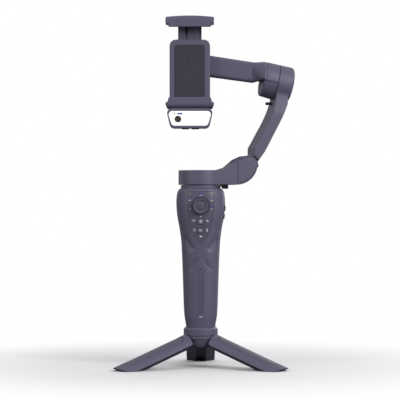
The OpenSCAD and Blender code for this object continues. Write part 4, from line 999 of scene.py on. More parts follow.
def cross_relief(depth):
    """The carved cross: four facets, each along a line. From the line the skin slopes in over
    a width and steps back out over a shorter one, and both ends fade out. A facet of negative
    width steps in at its line and slopes back out."""
    def relief(x, z):
        total, x = np.zeros_like(x), np.abs(x)
        for x0, z0, x1, z1, width, step, start, stop in CROSS_ARMS:
            run = np.array([x1 - x0, z1 - z0])
            size = np.hypot(*run)
            run = run / size
            ax, az = x - x0, z - CROSS_MIDDLE - z0
            along, off = ax * run[0] + az * run[1], az * run[0] - ax * run[1]
            if width > 0:
                rise, fall = ramp(off, 0, width), ramp(-off, -width - step, step)
            else:
                rise, fall = ramp(off, -step, step), ramp(-off, width, -width)
            ends = ramp(along, 0, start) * ramp(-along, -size, stop)
            total = np.maximum(total, np.minimum(rise, fall) * ends * (3 - 2 * ends) * ends)
        return total * depth
    return relief


class GIMBAL_OT_grip(bpy.types.Operator):
    """Build the grip's front and rear shells"""

    bl_idname = "gimbal.grip"
    bl_label = "Grip shells"

    def execute(self, context):
        grip, keypad = sizes(context, "grip"), sizes(context, "keypad")
        form = GripForm(grip)
        under = grip.wall - 0.03
        z = np.linspace(GRIP_FOOT, GRIP_TOP, 90)
        seam = math.cos(grip.seam + math.radians(0.35)) ** (2 / form.power)
        edge = np.stack([seam * form.halves(z)[0], z], -1)
        pad, strip = pad_outline(keypad, 0.12), strip_outline(keypad, 0.12)
        front = plate(form.front, np.concatenate([edge, edge[::-1] * [-1, 1]]), [pad, strip], 0,
                      grip.wall, grip.edge, spacing=1.5, step=0.9,
                      relief=cross_relief(grip.carve), finer=[(-14.5, 14.5, 87, 124, 0.62)])
        shelf = plate(form.front, grown(pad, 0.3), pad_holes(keypad, 0.3), 1, under, 0, spacing=3)
        channel = plate(form.front, grown(strip, 0.3), charge_holes(), 1, under, 0, spacing=3)
        piece("grip_front", [front, shelf, channel], "body", "handle",
              ["front_shell"], smooth=40)

        around = np.interp(-grip.seam, form.angle, form.run)
        middle = SIDE_Y, (ZOOM_Z + POWER_Z) / 2
        holes = [
            form.unrolled(box_outline(middle, 7.24, 18.24), "right"),
            form.unrolled(rounded(corners(-7.35, 7.35, TRIGGER_Z - TRIGGER_LOW,
                                          TRIGGER_Z + TRIGGER_HIGH), 0.8, 4), "back"),
            form.unrolled(box_outline((0, PORT_Z), 5.04, 10.84, 2.5), "left"),
            *(form.unrolled(ring((x, z), 2.15, 32), "back") for x, z in self.bosses(grip)),
        ]
        back = plate(form.around, corners(GRIP_FOOT, GRIP_TOP, around, -around)[:, ::-1],
                     holes, 0, grip.wall, grip.edge, spacing=1.7, step=0.9, flat_back=False)
        shelf = plate(form.right, box_outline(middle, 7.6, 18.6), side_holes(keypad), 0.9, under, 0)
        piece("grip_rear", [back, shelf, *self.floor(form, grip)], "body", "handle",
              ["rear_shell"], smooth=40)
        return {"FINISHED"}

    def bosses(self, grip):
        """Places of the screws' bosses, in x and height."""
        return [(grip.width * x, GRIP_FOOT + (GRIP_TOP - GRIP_FOOT) * share)
                for x, share in BOSS_SPOTS]

    def floor(self, form, grip):
        """The floor with the insert's hole, and the screws' bosses."""
        w, d = form.halves(GRIP_FOOT + 3)
        x, y = form.curve(np.radians(np.linspace(0, 360, 120, endpoint=False)))
        outline = np.stack([(w - 1) * x, np.maximum((d - 1) * y, -6.5)], -1)
        parts = [plate(facing(UPRIGHT, "xy", GRIP_FOOT + 6, -1), outline, [ring((0, 0), 5.0)], 0,
                       6, 0, spacing=6)]
        for x, z in self.bosses(grip):
            end = float(form.halves(z)[1]) * 0.76
            place = Place((PAN_X + x, PAN_Y, z), (1, 0, 0), (0, 0, -1), (0, 1, 0))
            parts.append(turned(place, [
                [2.6, 1], [2.6, end + 1.4], [2.15, end + 1.4], [2.15, end], [1.02, end], [1.02, 1],
            ], 32, loop=True))
        return parts


# Keypad and controls

KEY_DISH = 0.16, 5
# Printed marks: two outlines, and bars as middle, width, height and corner.
PLUS = [[-2.2, -0.22], [-0.22, -0.22], [-0.22, -1.5], [0.22, -1.5], [0.22, -0.22], [1.7, -0.22],
        [1.7, 0.22], [0.22, 0.22], [0.22, 1.5], [-0.22, 1.5], [-0.22, 0.22], [-2.2, 0.22]]
BOLT = [[-1.6, 0.5], [-0.6, 1.1], [0.3, 0.2], [0.9, 0.5], [0.9, -0.1], [1.7, -0.3],
        [0.8, -1.2], [0.5, -0.5], [-0.1, -0.7], [-0.8, 0.2]]
BARS = [(0, -6.6, 3.0, 0.75, 0.3), (-10.4, -11.0, 1.9, 0.75, 0.3), (-10.0, -19.0, 1.2, 0.75, 0.3),
        (10.4, -11.2, 1.6, 0.75, 0.3), (10.3, -19.2, 1.4, 0.75, 0.3), (0, -26.2, 1.3, 0.8, 0.35)]


def dish(middle, depth, size):
    """A shallow dish in a face, deepest at its middle: depth * exp(-distance^2 / size)."""
    return lambda u, v: depth * np.exp(-((u - middle[0]) ** 2 + (v - middle[1]) ** 2) / size)


class GIMBAL_OT_keypad(bpy.types.Operator):
    """Build the keypad's face, its keys, marks and lights, and the charge strip"""

    bl_idname = "gimbal.keypad"
    bl_label = "Keypad"

    def execute(self, context):
        keypad = sizes(context, "keypad")
        form = GripForm(sizes(context, "grip"))
        face = plate(form.front, pad_outline(keypad), pad_holes(keypad, KEY_GAP), 0.2, PAD_UNDER,
                     0.16, spacing=2)
        piece("keypad_face", [face], "panel", "handle", ["keypad_panel"])
        for name, shares, middle in (("record", RECORD_SHARES, RECORD_Z),
                                     ("mode", MODE_SHARES, MODE_Z)):
            cap = plate(form.front, key_outline(keypad, shares, middle), [], -keypad.proud, 2.6,
                        0.5, spacing=1.6, relief=dish((0, middle), *KEY_DISH))
            root = plate(facing(UPRIGHT, "xz", -14, -1), key_outline(keypad, shares, middle, 0.6),
                         [], 0, 1.2, 0)
            piece(name + "_key_cap", [cap, root], "body", name + "_button",
                  [name + "_key"])
        dots = [self.dome(form, x, z, 0.8, 0.12, 1.6) for x, z in light_spots(keypad)]
        dots.append(plate(form.front, box_outline(light_spots(keypad)[0], 3.6, 1.5, 0.7), [],
                          0.12, 0.3, 0.06, spacing=0.6, step=0.4))
        piece("mode_dots", dots, "glow", "handle", ["mode_lights"])
        window = plate(form.front, strip_outline(keypad), charge_holes(), 0.35, PAD_UNDER, 0.1,
                       spacing=2)
        piece("charge_window", [window], "panel", "handle", ["charge_strip"])
        dots = [self.dome(form, 0, at, 0.55, 0.22, 1.4) for at in CHARGE_SPOTS]
        piece("charge_dots", dots, "glow", "handle", ["charge_lights"])
        low_marks = [(box_outline((x, GRIP_TOP - 119.5), 1.05, 1.0, 0.25), [])
                     for x in (-0.75, 0.75)]
        marks = [*self.marks(form.front, self.panel_marks(), 0.155),
                 *self.marks(form.front, low_marks, -0.015)]
        piece("keypad_marks", marks, "mark", "handle")
        for name, middle, mark in (("record", RECORD_Z, self.record_mark()),
                                   ("mode", MODE_Z, self.mode_mark())):
            pressed = dish((0, middle), *KEY_DISH)
            sunk = lambda u, v, depth: form.front(u, v, depth + pressed(u, v) - keypad.proud)
            piece(name + "_mark", self.marks(sunk, mark, -0.04, 0.16, 0.5), "mark",
                  name + "_button")
        return {"FINISHED"}

    def dome(self, form, x, z, radius, depth, root):
        """A small domed lens set in the skin: a quarter ellipse turned about its normal."""
        t = np.linspace(0, math.pi / 2, 6)
        rise = radius * 0.35
        profile = np.stack([radius * np.sin(t), depth - rise * np.cos(t)], -1)
        profile = np.concatenate([profile, [[radius, root], [0, root]]])
        return turned(lambda u, v, d: form.front(x + u, z + v, d + rise * 0.4), profile, 20)

    def marks(self, place, shapes, depth, thick=0.06, spacing=0.8):
        """Thin plates of ink from outlines and their holes."""
        return [plate(place, outline, holes, depth, depth + thick, 0.02, spacing=spacing,
                      step=0.3, steps=2) for outline, holes in shapes]

    def record_mark(self):
        """A ring about a dot."""
        at = (0, RECORD_Z - 0.2)
        return [(ring(at, 1.3, 28), [ring(at, 0.85, 24)]), (ring(at, 0.5, 20), [])]

    def mode_mark(self):
        """A bar beside a wedge."""
        bar = [[-1.2, 1.0], [-1.2, -0.9], [-0.15, -0.9], [-0.15, 1.0]]
        wedge = [[0.25, 1.0], [0.25, -0.9], [1.3, 0.05]]
        return [(rounded(np.array(outline) + [0, MODE_Z + 0.3], 0.2, 3), [])
                for outline in (bar, wedge)]

    def panel_marks(self):
        """Small printed marks: under the lights a bar or two, and about the keys a plus, a
        crossed arrow, a ring and a few dots. Each is an outline with its holes."""
        shapes = [(box_outline((x, z), *box), []) for x, z, *box in BARS]
        shapes.append((rounded(np.array(PLUS) + [-6.4, -29.9], 0.1, 2), []))
        shapes.append((rounded(np.array(BOLT) + [6.0, -30.2], 0.12, 2), []))
        shapes.append((ring((-6.0, -38.6), 1.35, 28), [ring((-6.0, -38.6), 0.95, 24)]))
        shapes.append((ring((5.9, -38.0), 0.7, 20), []))
        foot = np.array([[-1.0, -0.9], [1.0, -0.9], [0.55, 0.25], [-0.55, 0.25]])
        shapes.append((rounded(foot + [5.9, -39.2], 0.25, 3), []))
        shapes.append((box_outline((0.1, -44.7), 2.6, 1.4, 0.7), []))
        return [(outline + [0, GRIP_TOP], [hole + [0, GRIP_TOP] for hole in holes])
                for outline, holes in shapes]


class GIMBAL_OT_joystick(bpy.types.Operator):
    """Build the joystick's cap"""

    bl_idname = "gimbal.joystick"
    bl_label = "Joystick cap"

    def execute(self, context):
        r = sizes(context, "keypad").knob
        form = GripForm(sizes(context, "grip"))
        pivot, foot, stick, wall = 4.5, 5.3, 1.52, 0.7
        place = Place((PAN_X, PAN_Y - float(form.halves(STICK_Z)[1]) + pivot, STICK_Z),
                      (1, 0, 0), (0, 0, 1), (0, -1, 0))
        skirt, rim, top = r + STICK_GAP - 0.1, r + 0.9, foot + 2.2
        low_a, high_a = (math.degrees(math.asin(level / skirt)) for level in (1.6, foot))
        inner = arc((0, 0), skirt - wall, high_a, low_a, 8)
        outer = arc((0, 0), skirt, low_a, high_a, 8)
        t = np.linspace(0, 1, 8)
        profile = np.concatenate([
            [[stick, foot]], [[inner[0][0], foot]], inner, outer,
            [[r - 0.2, foot + 0.02], [r - 0.1, foot + 0.7], [rim - 0.25, foot + 1.5]],
            arc((rim - 0.2, foot + 1.7), 0.2, -60, 0, 3),
            arc((rim - 0.4, top - 0.4), 0.4, 0, 90, 6),
            np.stack([rim - 1.2 - 2.0 * t, top - 0.05 - 0.75 * (3 * t**2 - 2 * t**3)], -1),
            np.stack([3.9 - 0.6 * t, top - 0.8 + 0.5 * t**2], -1),
            np.stack([3.1 * (1 - t), top - 0.25 + 0.35 * np.sin(t * math.pi / 2)], -1),
            [[0, foot + 1], [stick, foot + 1]],
        ])

        def knurled(radius, h, angle):
            """Ribs around the cap's dished ring, and a fine grip around its rim."""
            band = ramp(radius, 4.1, 0.4) * ramp(-radius, 1.3 - rim, 0.4)
            h = h + (h > foot + 1.05) * band * 0.16 * np.cos(30 * angle)
            ribs = (ramp(radius, rim - 0.2, 0.2) * ramp(h, foot + 1.5, 0.2)
                    * ramp(-h, 0.3 - top, 0.2))
            return radius + ribs * 0.07 * np.cos(60 * angle), h

        cap = turned(place, profile, 360, loop=True, reshape=knurled)
        piece("joystick_knob", [cap], "knob", "joystick", ["joystick_cap"], smooth=50)
        return {"FINISHED"}


class GIMBAL_OT_side_controls(bpy.types.Operator):
    """Build the zoom slider, the power button, their frame and the trigger"""

    bl_idname = "gimbal.side_controls"
    bl_label = "Side controls and trigger"

    def execute(self, context):
        grip, keypad = sizes(context, "grip"), sizes(context, "keypad")
        form = GripForm(grip)
        bezel = plate(form.right, box_outline((SIDE_Y, (ZOOM_Z + POWER_Z) / 2), 7, 18),
                      side_holes(keypad), 0.2, 0.85, 0.15, spacing=2)
        piece("side_frame", [bezel], "dark", "handle", ["side_bezel"])
        root = float(form.halves(POWER_Z - 2.3)[0]) - 3.0
        for name, node, body, at, height, lip, relief in (
                ("zoom_thumb", "zoom_slider", "zoom", ZOOM_Z, 4.7, 6.2, self.ribbed(ZOOM_Z)),
                ("power_cap", "power_button", "power", POWER_Z, 4.6, 4.6,
                 dish((SIDE_Y, POWER_Z), 0.2, 3))):
            spot, width = (SIDE_Y, at), keypad.side_key
            cap = plate(form.right, box_outline(spot, width, height, 0.6), [], -0.9, 2.4, 0.45,
                        spacing=0.7, step=0.7, relief=relief)
            back = plate(facing(UPRIGHT, "yz", root, -1),
                         box_outline(spot, width + 1.4, lip, 0.3), [], 0, 1.2, 0)
            stem = plate(facing(UPRIGHT, "yz", root + 1.6, -1),
                         box_outline(spot, width, height, 0.3), [], 0, 1.8, 0)
            piece(name, [cap, back, stem], "body", body, [node])
        self.trigger(grip)
        return {"FINISHED"}

    def ribbed(self, at):
        """Three ribs across the thumb piece."""
        return lambda y, z: (0.14 * (1 - np.cos((z - at) / 4.7 * 6 * math.pi))
                             * (np.abs(z - at) < 1.75))

    def trigger(self, grip):
        """The trigger: its side profile carried across its width, with a hollow for the
        finger that deepens towards the middle."""
        points = np.array([[0.62, 0.06], [0.72, 0], [0.86, -0.3], [0.9, -0.55], [1.12, -0.86],
                           [0.9, -0.92], [0.2, -0.86], [0.16, -0.3], [-0.16, 0]])
        outline = rounded(points * [7.2, 19.6], [0.5, 2, 3, 2, 1.2, 0.8, 0.6, 1.5, 0.6], 5)
        y0, half, reach = grip.depth / 2 - 4.6, 7.0, 2.35

        def place(u, v, depth):
            x = depth - half
            hollow = 0.5 * (1 - (x / half) ** 2) * ramp(u, 3, 3)
            return UPRIGHT(x, y0 + u - hollow, TRIGGER_Z + v)

        blade = plate(place, outline, [], 0, 2 * half, 0.7, 0.7, spacing=2.5, step=0.8, walls=10)
        long = 2 * (half + reach)
        pin = turned(Place((PAN_X - half - reach, PAN_Y + y0, TRIGGER_Z), (0, 1, 0), (0, 0, 1),
                           (1, 0, 0)),
                     [[0, 0], [0.9, 0], [1, 0.1], [1, long - 0.1], [0.9, long], [0, long]], 24)
        piece("trigger_blade", [blade, pin], "dark", "trigger_lever", ["trigger"])


# Pan motor, knee and upper arm

# The crest's points from the knee, as shares of the ear's radius.
EAR_CREST = np.array([[-0.49, 0.9], [-0.96, 0.66], [-1.42, 0.28], [-1.87, -0.11],
                      [-2.57, -0.33], [-3.08, -0.4]])
BELLY_X, COVER_X = KNEE_AT[0] - 10.8, KNEE_AT[0] - 10.18
LID = 0.8
# Radii of the shafts' close and easy bores, and of the bearings' seats.
TIGHT_BORE, BORE, SEAT = 3.02, 3.05, 5.2


def ear_outline(arm, inset=0.0):
    """The knee's ears in the arm's plane: under the belly, round the knee, down the crest."""
    crest = KNEE_AT + arm.ear * EAR_CREST[1:-1] - inset * np.array([0.4, 1])
    return np.concatenate([arc((BELLY_X, CUP_FOOT + arm.belly), arm.belly - inset, -90, -12, 16),
                           arc(KNEE_AT, arm.ear - inset, -4, 108, 24), crest])


def whole_ears(arm):
    """The ears' whole outline, closed inside the cup."""
    return np.concatenate([[[0, CUP_FOOT + 0.02]], ear_outline(arm)[1:],
                           [KNEE_AT + arm.ear * EAR_CREST[-1]],
                           [[0, CUP_FOOT + arm.cup_height - 2]]])


def cover_outline(arm):
    """A knee cover: the ear's outline drawn in, right of a straight edge."""
    points = fine(ear_outline(arm, 1.32), 0.6)
    ends = points[points[:, 0] > COVER_X][:-1]
    run = ends[-1] - ends[-3]
    crest = ends[-1][1] + (COVER_X - ends[-1][0]) * run[1] / run[0]
    return np.concatenate([ends, [[COVER_X, crest], [COVER_X, ends[0][1]]]])


def web_outline(arm):
    """The web between the ears, from the cup to the slot that is round the tongue."""
    crest = KNEE_AT + arm.ear * EAR_CREST
    under = arc((BELLY_X, CUP_FOOT + arm.belly), arm.belly, -90, -40, 10)
    slot = arc(KNEE_AT, 9.3, 288, 172, 16)
    return np.concatenate([[[0, CUP_FOOT]], under, slot[slot[:, 1] < crest[2][1] + 2], crest[2:],
                           [[0, CUP_FOOT + arm.cup_height - 0.02]]])


class GIMBAL_OT_pan(bpy.types.Operator):
    """Build the neck collar, the pan cup, the knee's ears and their covers"""

    bl_idname = "gimbal.pan"
    bl_label = "Neck, pan cup and knee"

    def execute(self, context):
        arm = sizes(context, "arm")
        hole, plug = 6.02, 16.2
        collar = turned(Place((PAN_X, PAN_Y, GRIP_TOP)), np.concatenate([
            [[hole, -5], [plug, -5], [plug, 0.02], [18.4, 0.02], [18.6, 0.2]],
            arc((17.8, 2.4), 0.8, 0, 90, 6), [[7.6, 3.2], [7.6, 11.2], [hole, 11.2]],
        ]), 128, loop=True)
        piece("neck_collar", [collar], "body", "handle", ["neck_ring"])

        top, half, slot, skin = arm.cup_height, arm.depth / 2, arm.tongue / 2 + 0.25, 1.5
        whole, cover, covers = whole_ears(arm), cover_outline(arm), []
        parts = [self.cup(arm), *self.latch(arm)]
        for side in (-1, 1):
            face = facing(ARM, "xz", side * half, -side)
            parts.append(plate(face, whole, [grown(cover, 0.12)], 0, skin, arm.edge * 0.6,
                               spacing=1.1))
            parts.append(plate(face, whole, [], skin, half - slot, 0))
            covers.append(plate(face, cover, [], 0.2, skin - 0.02, 0.35, spacing=3))
        parts.append(plate(facing(ARM, "xz", -slot), web_outline(arm), [], 0, 2 * slot, 0))
        piece("pan_arm_shell", parts, "body", "pan_body", ["pan_arm"])

        lid = turned(Place((PAN_X, PAN_Y, CUP_FOOT + top - LID)), np.concatenate([
            [[0, 0], [15.4, 0], [15.46, 0.1]], arc((15.2, 0.55), 0.25, 0, 90, 4),
            [[13.2, LID], [13.0, 0.68], [12.8, LID], [0, LID]],
        ]), 128)
        piece("pan_lid", [lid], "body", "pan_body", ["pan_cap"])
        piece("knee_lids", covers, "body", "pan_body", ["knee_covers"])
        wedge = np.array([[0, 0], [2.2, -3.8], [6.3, -3.8], [6.3, 0]]) + [arm.cup - 0.5, CUP_FOOT]
        lock = plate(facing(ARM, "xz", -5), rounded(wedge, [0.02, 0.6, 0.6, 0.02], 4), [], 0, 10,
                     0.4, 0.4, spacing=3)
        piece("pan_lock_tab", [lock], "body", "pan_body", ["pan_lock"])
        return {"FINISHED"}

    def cup(self, arm):
        """The pan motor's cup, with its lid's seat and the shaft's bore."""
        top, edge, inside, rim = arm.cup_height, 0.5, 15.7, 15.52
        return turned(Place(PAN), np.concatenate([
            [[inside, 0], [arm.cup - 0.3, 0], [arm.cup, 0.3]],
            arc((arm.cup - edge, top - edge), edge, 0, 90, 5),
            [[rim, top], [rim, top - LID], [TIGHT_BORE, top - LID], [TIGHT_BORE, top - 3],
             [inside, top - 3]],
        ]), 160, loop=True)

    def latch(self, arm):
        """The block on the cup's left, notched at its top."""
        top, half, notch = arm.cup_height, 8.5, 4.4
        face = facing(ARM, "yz", -arm.cup - 0.2)
        notched = rounded([[-half, 0], [half, 0], [half, top], [notch, top], [0, top - notch],
                           [-notch, top], [-half, top]], [0.3, 0.3, 0.5, 0.4, 0.3, 0.4, 0.5], 3)
        plain = rounded(corners(-half, half, 0, top), 0.3, 3)
        return [plate(face, notched + [0, CUP_FOOT], [], 0, 3.2, 0.5),
                plate(face, plain + [0, CUP_FOOT], [], 3.2, 5, 0)]


# Share of the line from knee to seam, then the left and right sides as shares across.
ARM_SHARES = np.array([[0.10, -0.045, 0.097], [0.225, -0.008, 0.118], [0.43, 0.023, 0.139],
                       [0.56, 0.043, 0.155], [0.69, 0.053, 0.168], [0.80, 0.044, 0.172]])
SEAM = np.array([float(np.linalg.norm((TILT - PAN)[:2])), TILT[2]])
SEAM_OUT = np.array([math.cos(DROP), -math.sin(DROP)])
SEAM_UP = np.array([math.sin(DROP), math.cos(DROP)])
LINE = SEAM - KNEE_AT
BESIDE = np.array([LINE[1], -LINE[0]])


def arm_point(share, across):
    """A place in the arm's plane by its share of the line from knee to seam."""
    return KNEE_AT + share * LINE + across * BESIDE


def arm_side(share, column):
    """The arm's left or right side, columns 1 and 2 of its table, as shares across."""
    return smooth_rows(ARM_SHARES, share, column)


class GIMBAL_OT_upper_arm(bpy.types.Operator):
    """Build the upper arm with the tilt motor's head, and its stop nub"""

    bl_idname = "gimbal.upper_arm"
    bl_label = "Upper arm"

    def execute(self, context):
        arm, motor = sizes(context, "arm"), sizes(context, "motor")
        r, e, end = motor.tilt, motor.edge, motor.head
        wall, seam = 2, 0.25
        head = turned(TILT_TURNED, np.concatenate([
            [[0, end], [r - e - 1.5, end], [r - e - 1.2, end - 0.15], [r - e - 0.9, end]],
            arc((r - e, end - e), e, 90, 0, 10),
            [[r, seam + 0.3], [r - 0.3, seam], [r - wall, seam], [r - wall, end - wall],
             [SEAT, end - wall], [SEAT, wall], [BORE, wall], [BORE, end - wall], [0, end - wall]],
        ]), 160)
        half = arm.tongue / 2
        flat = facing(ARM, "xz", -half)
        disc = plate(flat, ring(KNEE_AT, 8.6, 64), [ring(KNEE_AT, BORE, 40)], 0, 2 * half, 0.4, 0.4)
        web = rounded([KNEE_AT + [3.6, 6.1], arm_point(0.27, 0.01), arm_point(0.3, 0.11),
                       arm_point(0.06, 0.094)], 0.3, 2)
        web = plate(flat, web, [], 0.01, 2 * half - 0.01, 0.4, 0.4)
        piece("upper_arm_shell", [head, self.band(arm, motor), disc, web], "body", "knee_body",
              ["upper_arm"], smooth=38)

        first, last, r = low("arm_stop"), high("arm_stop"), 1.4
        axis = -ARM.axes[0]
        long = (last[0] - first[0] - 2 * r * abs(math.sin(YAW))) / math.cos(YAW)
        start = (first + last) / 2 - axis * long / 2
        nub = turned(Place(start, ARM.axes[1], (0, 0, 1), axis), np.concatenate([
            [[0, 0], [r, 0]], arc((0, long - r), r, 0, 90, 8)[:-1], [[0, long]]]), 32)
        piece("stop_nub", [nub], "dark", "knee_body", ["arm_stop"])
        return {"FINISHED"}

    def band(self, arm, motor):
        """The arm's curved outline, from the knee to the motor, carried across its depth."""
        r, e, out = motor.tilt, motor.edge, motor.head - motor.edge
        half, limit, soft = r - e / 8, r - 1.2, 0.9
        foot = arm_point(0.10, 0.097) - KNEE_AT
        shares = np.linspace(0.215, 0.8, 28)
        left, right = (arm_point(shares[:, None], arm_side(shares, column)[:, None])
                       for column in (1, 2))
        right[:, 0] += 0.6 + 0.65 * ramp(shares, 0.2, 0.25)
        left[:, 0] -= 0.4 * ramp(shares, 0.5, 0.2)
        head = [SEAM + x * SEAM_OUT + y * SEAM_UP
                for x, y in ((out, -r / 2), (out, 0), (0.5, 0), (0.5, -r / 2))]
        outline = np.concatenate([
            arc(KNEE_AT, 10.9, 60.5, math.degrees(math.atan2(foot[1], foot[0])), 12), right, head,
            left[::-1]])

        def place(u, v, depth):
            """The arm's depth follows the motor's round body down from its axis, then spreads
            again in a straight line to the knee. Its foot stops short of the motor's axis."""
            rise = (u - SEAM[0]) * SEAM_UP[0] + (v - SEAM[1]) * SEAM_UP[1]
            down = np.clip(-rise, 0, 60)
            straight = np.minimum(half - 3.2 + (down - 9) * 0.16, half)
            round_part = np.sqrt(np.maximum(half**2 - down**2, 0))
            deep = np.log(np.exp(round_part * soft) + np.exp(straight * soft)) / soft
            y = (depth - half) * np.where(down > 0, np.minimum(deep, half) / half, 1)
            back = np.maximum(rise + np.sqrt(np.maximum(limit**2 - y**2, 0)), 0)
            return ARM(u - back * SEAM_UP[0], y, v - back * SEAM_UP[1])

        def inner(loop):
            """How far a point of the outline is on the arm's inner, left side, 0 to 1."""
            t, across = ((loop - KNEE_AT) @ axis / (LINE @ LINE) for axis in (LINE, BESIDE))
            at = np.clip(t, 0.1, 0.8)
            middle = 0.5 * (arm_side(at, 1) + arm_side(at, 2))
            ends = ramp(t, 0.13, 0.05) * ramp(-t, -0.97, 0.12)
            return ramp(middle - across, 0, 0.03) * ends

        def edge(by):
            """The rim's size: the plain edge, and the bevel by a factor on the inner side."""
            return lambda loop: arm.edge + (arm.bevel - arm.edge) * by * inner(loop)

        return plate(place, outline, [], 0, 2 * half, edge(1), arm.edge, spacing=1.6, step=1.2,
                     walls=26, steps=5, deep=edge(1.3), flat=inner, flat_back=False)


# Tilt cup, cross arm and roll motor


class GIMBAL_OT_tilt(bpy.types.Operator):
    """Build the tilt motor's cup, with the cross arm and the roll motor's housing"""

    bl_idname = "gimbal.tilt"
    bl_label = "Tilt cup and cross arm"

    def execute(self, context):
        motor = sizes(context, "motor")
        wall, seam = 2, -0.25
        r, end, e, soft = motor.tilt, -motor.cup, 0.45, 1.6
        cup = turned(TILT_TURNED, np.concatenate([
            [[0, end], [r - soft - 0.5, end]], arc((r - soft, end + soft), soft, -90, 0, 8),
            arc((r - e, seam - e), e, 0, 90, 5),
            [[r - wall, seam], [r - wall, end + wall], [SEAT, end + wall], [SEAT, -2.05],
             [TIGHT_BORE, -2.05], [TIGHT_BORE, end + wall], [0, end + wall]],
        ]), 240, reshape=self.recess)
        r, front, inside = motor.roll, 3.0, 14.5
        rear = front + motor.roll_length
        housing = turned(Place(CLAMP.origin, *REARWARD), np.concatenate([
            [[inside, front], [r - 0.4, front]], arc((r - 0.4, front + 0.4), 0.4, -90, 0, 4),
            [[r, rear - 4.4], [r - 0.25, rear - 4.2], [r, rear - 4.0]],
            arc((r - soft, rear - soft), soft, 0, 90, 8),
            [[0, rear], [0, rear - wall], [BORE, rear - wall], [BORE, front + wall],
             [SEAT, front + wall], [SEAT, rear - wall], [inside, rear - wall]],
        ]), 128, loop=True)
        piece("cross_arm_shell", [self.bar(motor), housing], "body", "tilt_body",
              ["cross_arm"], smooth=40)
        piece("tilt_cup_shell", [cup], "body", "tilt_body", ["tilt_cup"], smooth=40)
        return {"FINISHED"}

    def recess(self, r, h, angle):
        """The cup's lower half is drawn in under a parting line."""
        lower = ramp(-r * np.cos(angle), 1.2, 0.5) * (r > 15.3)
        return r - 1.3 * lower * ramp(-h, 0.6, 0.3), h

    def bar(self, motor):
        """The cross arm: rings go from the upper half of the cup's end, drawn to a slab behind
        the clamp, and on to the roll motor. Between two sections each point runs straight."""
        t = np.linspace(-math.pi, math.pi, 96, endpoint=False)
        front, rear, thick, bend_x = 4.0, 19.5, 19, 59.0
        bend_z = thick / 4 - bend_x * math.tan(DROP)

        def slab(x, z, h):
            """A rectangle with round corners across the bar, in x, y and z of the clamp."""
            outline = rounded(corners(front, rear, -h / 2, h / 2), 3, 8)
            angle = np.arctan2(outline[:, 1] / h,
                               (outline[:, 0] - (front + rear) / 2) / (rear - front))
            order = np.argsort(angle)
            y, up = (np.interp(t, angle[order], side[order], period=2 * math.pi)
                     for side in outline.T)
            return CLAMP(x, y, z + up)

        def half_disc(s, radius):
            """The upper half of a disc across the tilt axis, level a little under the axis."""
            up = np.sin(t)
            return TILT_FRAME(s, radius * np.cos(t),
                              np.where(up > 0, radius * up, np.maximum(-1, 3 * up)))

        rows = [half_disc(-motor.cup + out, motor.tilt - inset)
                for out, inset in ((0.8, 0.8), (-0.2, 0.25), (-1.0, 0.1))]
        for target, count in ((slab(bend_x, bend_z, thick), 12), (slab(8.25, 0, 20), 14)):
            start = rows[-1]
            rows += [start + share * (target - start) for share in np.linspace(0, 1, count)[1:]]
        return loft(np.stack(rows))


# Phone clamp

BACK_TOP, BACK_FRONT, BACK_REAR, BACK_CORNER = 22.5, -5.0, 2.5, 7.0
JAW_PAD, LOWER_JAW = 0.8, 5.8
LIGHT_FRONT = -17.5


def jaw_face(clamp):
    """Distance of each jaw's face from the clamp's middle."""
    return clamp.opening / 2 + JAW_PAD


def pressed_ribs(axis, pitch, depth, power, limit):
    """Grooves in a pad, depth * ((1 + cos(2 pi s / pitch)) / 2)^power, within a half width."""
    return lambda u, v: (depth * (0.5 + 0.5 * np.cos((u, v)[axis] * 2 * math.pi / pitch)) ** power
                         * (np.abs(u) < limit))


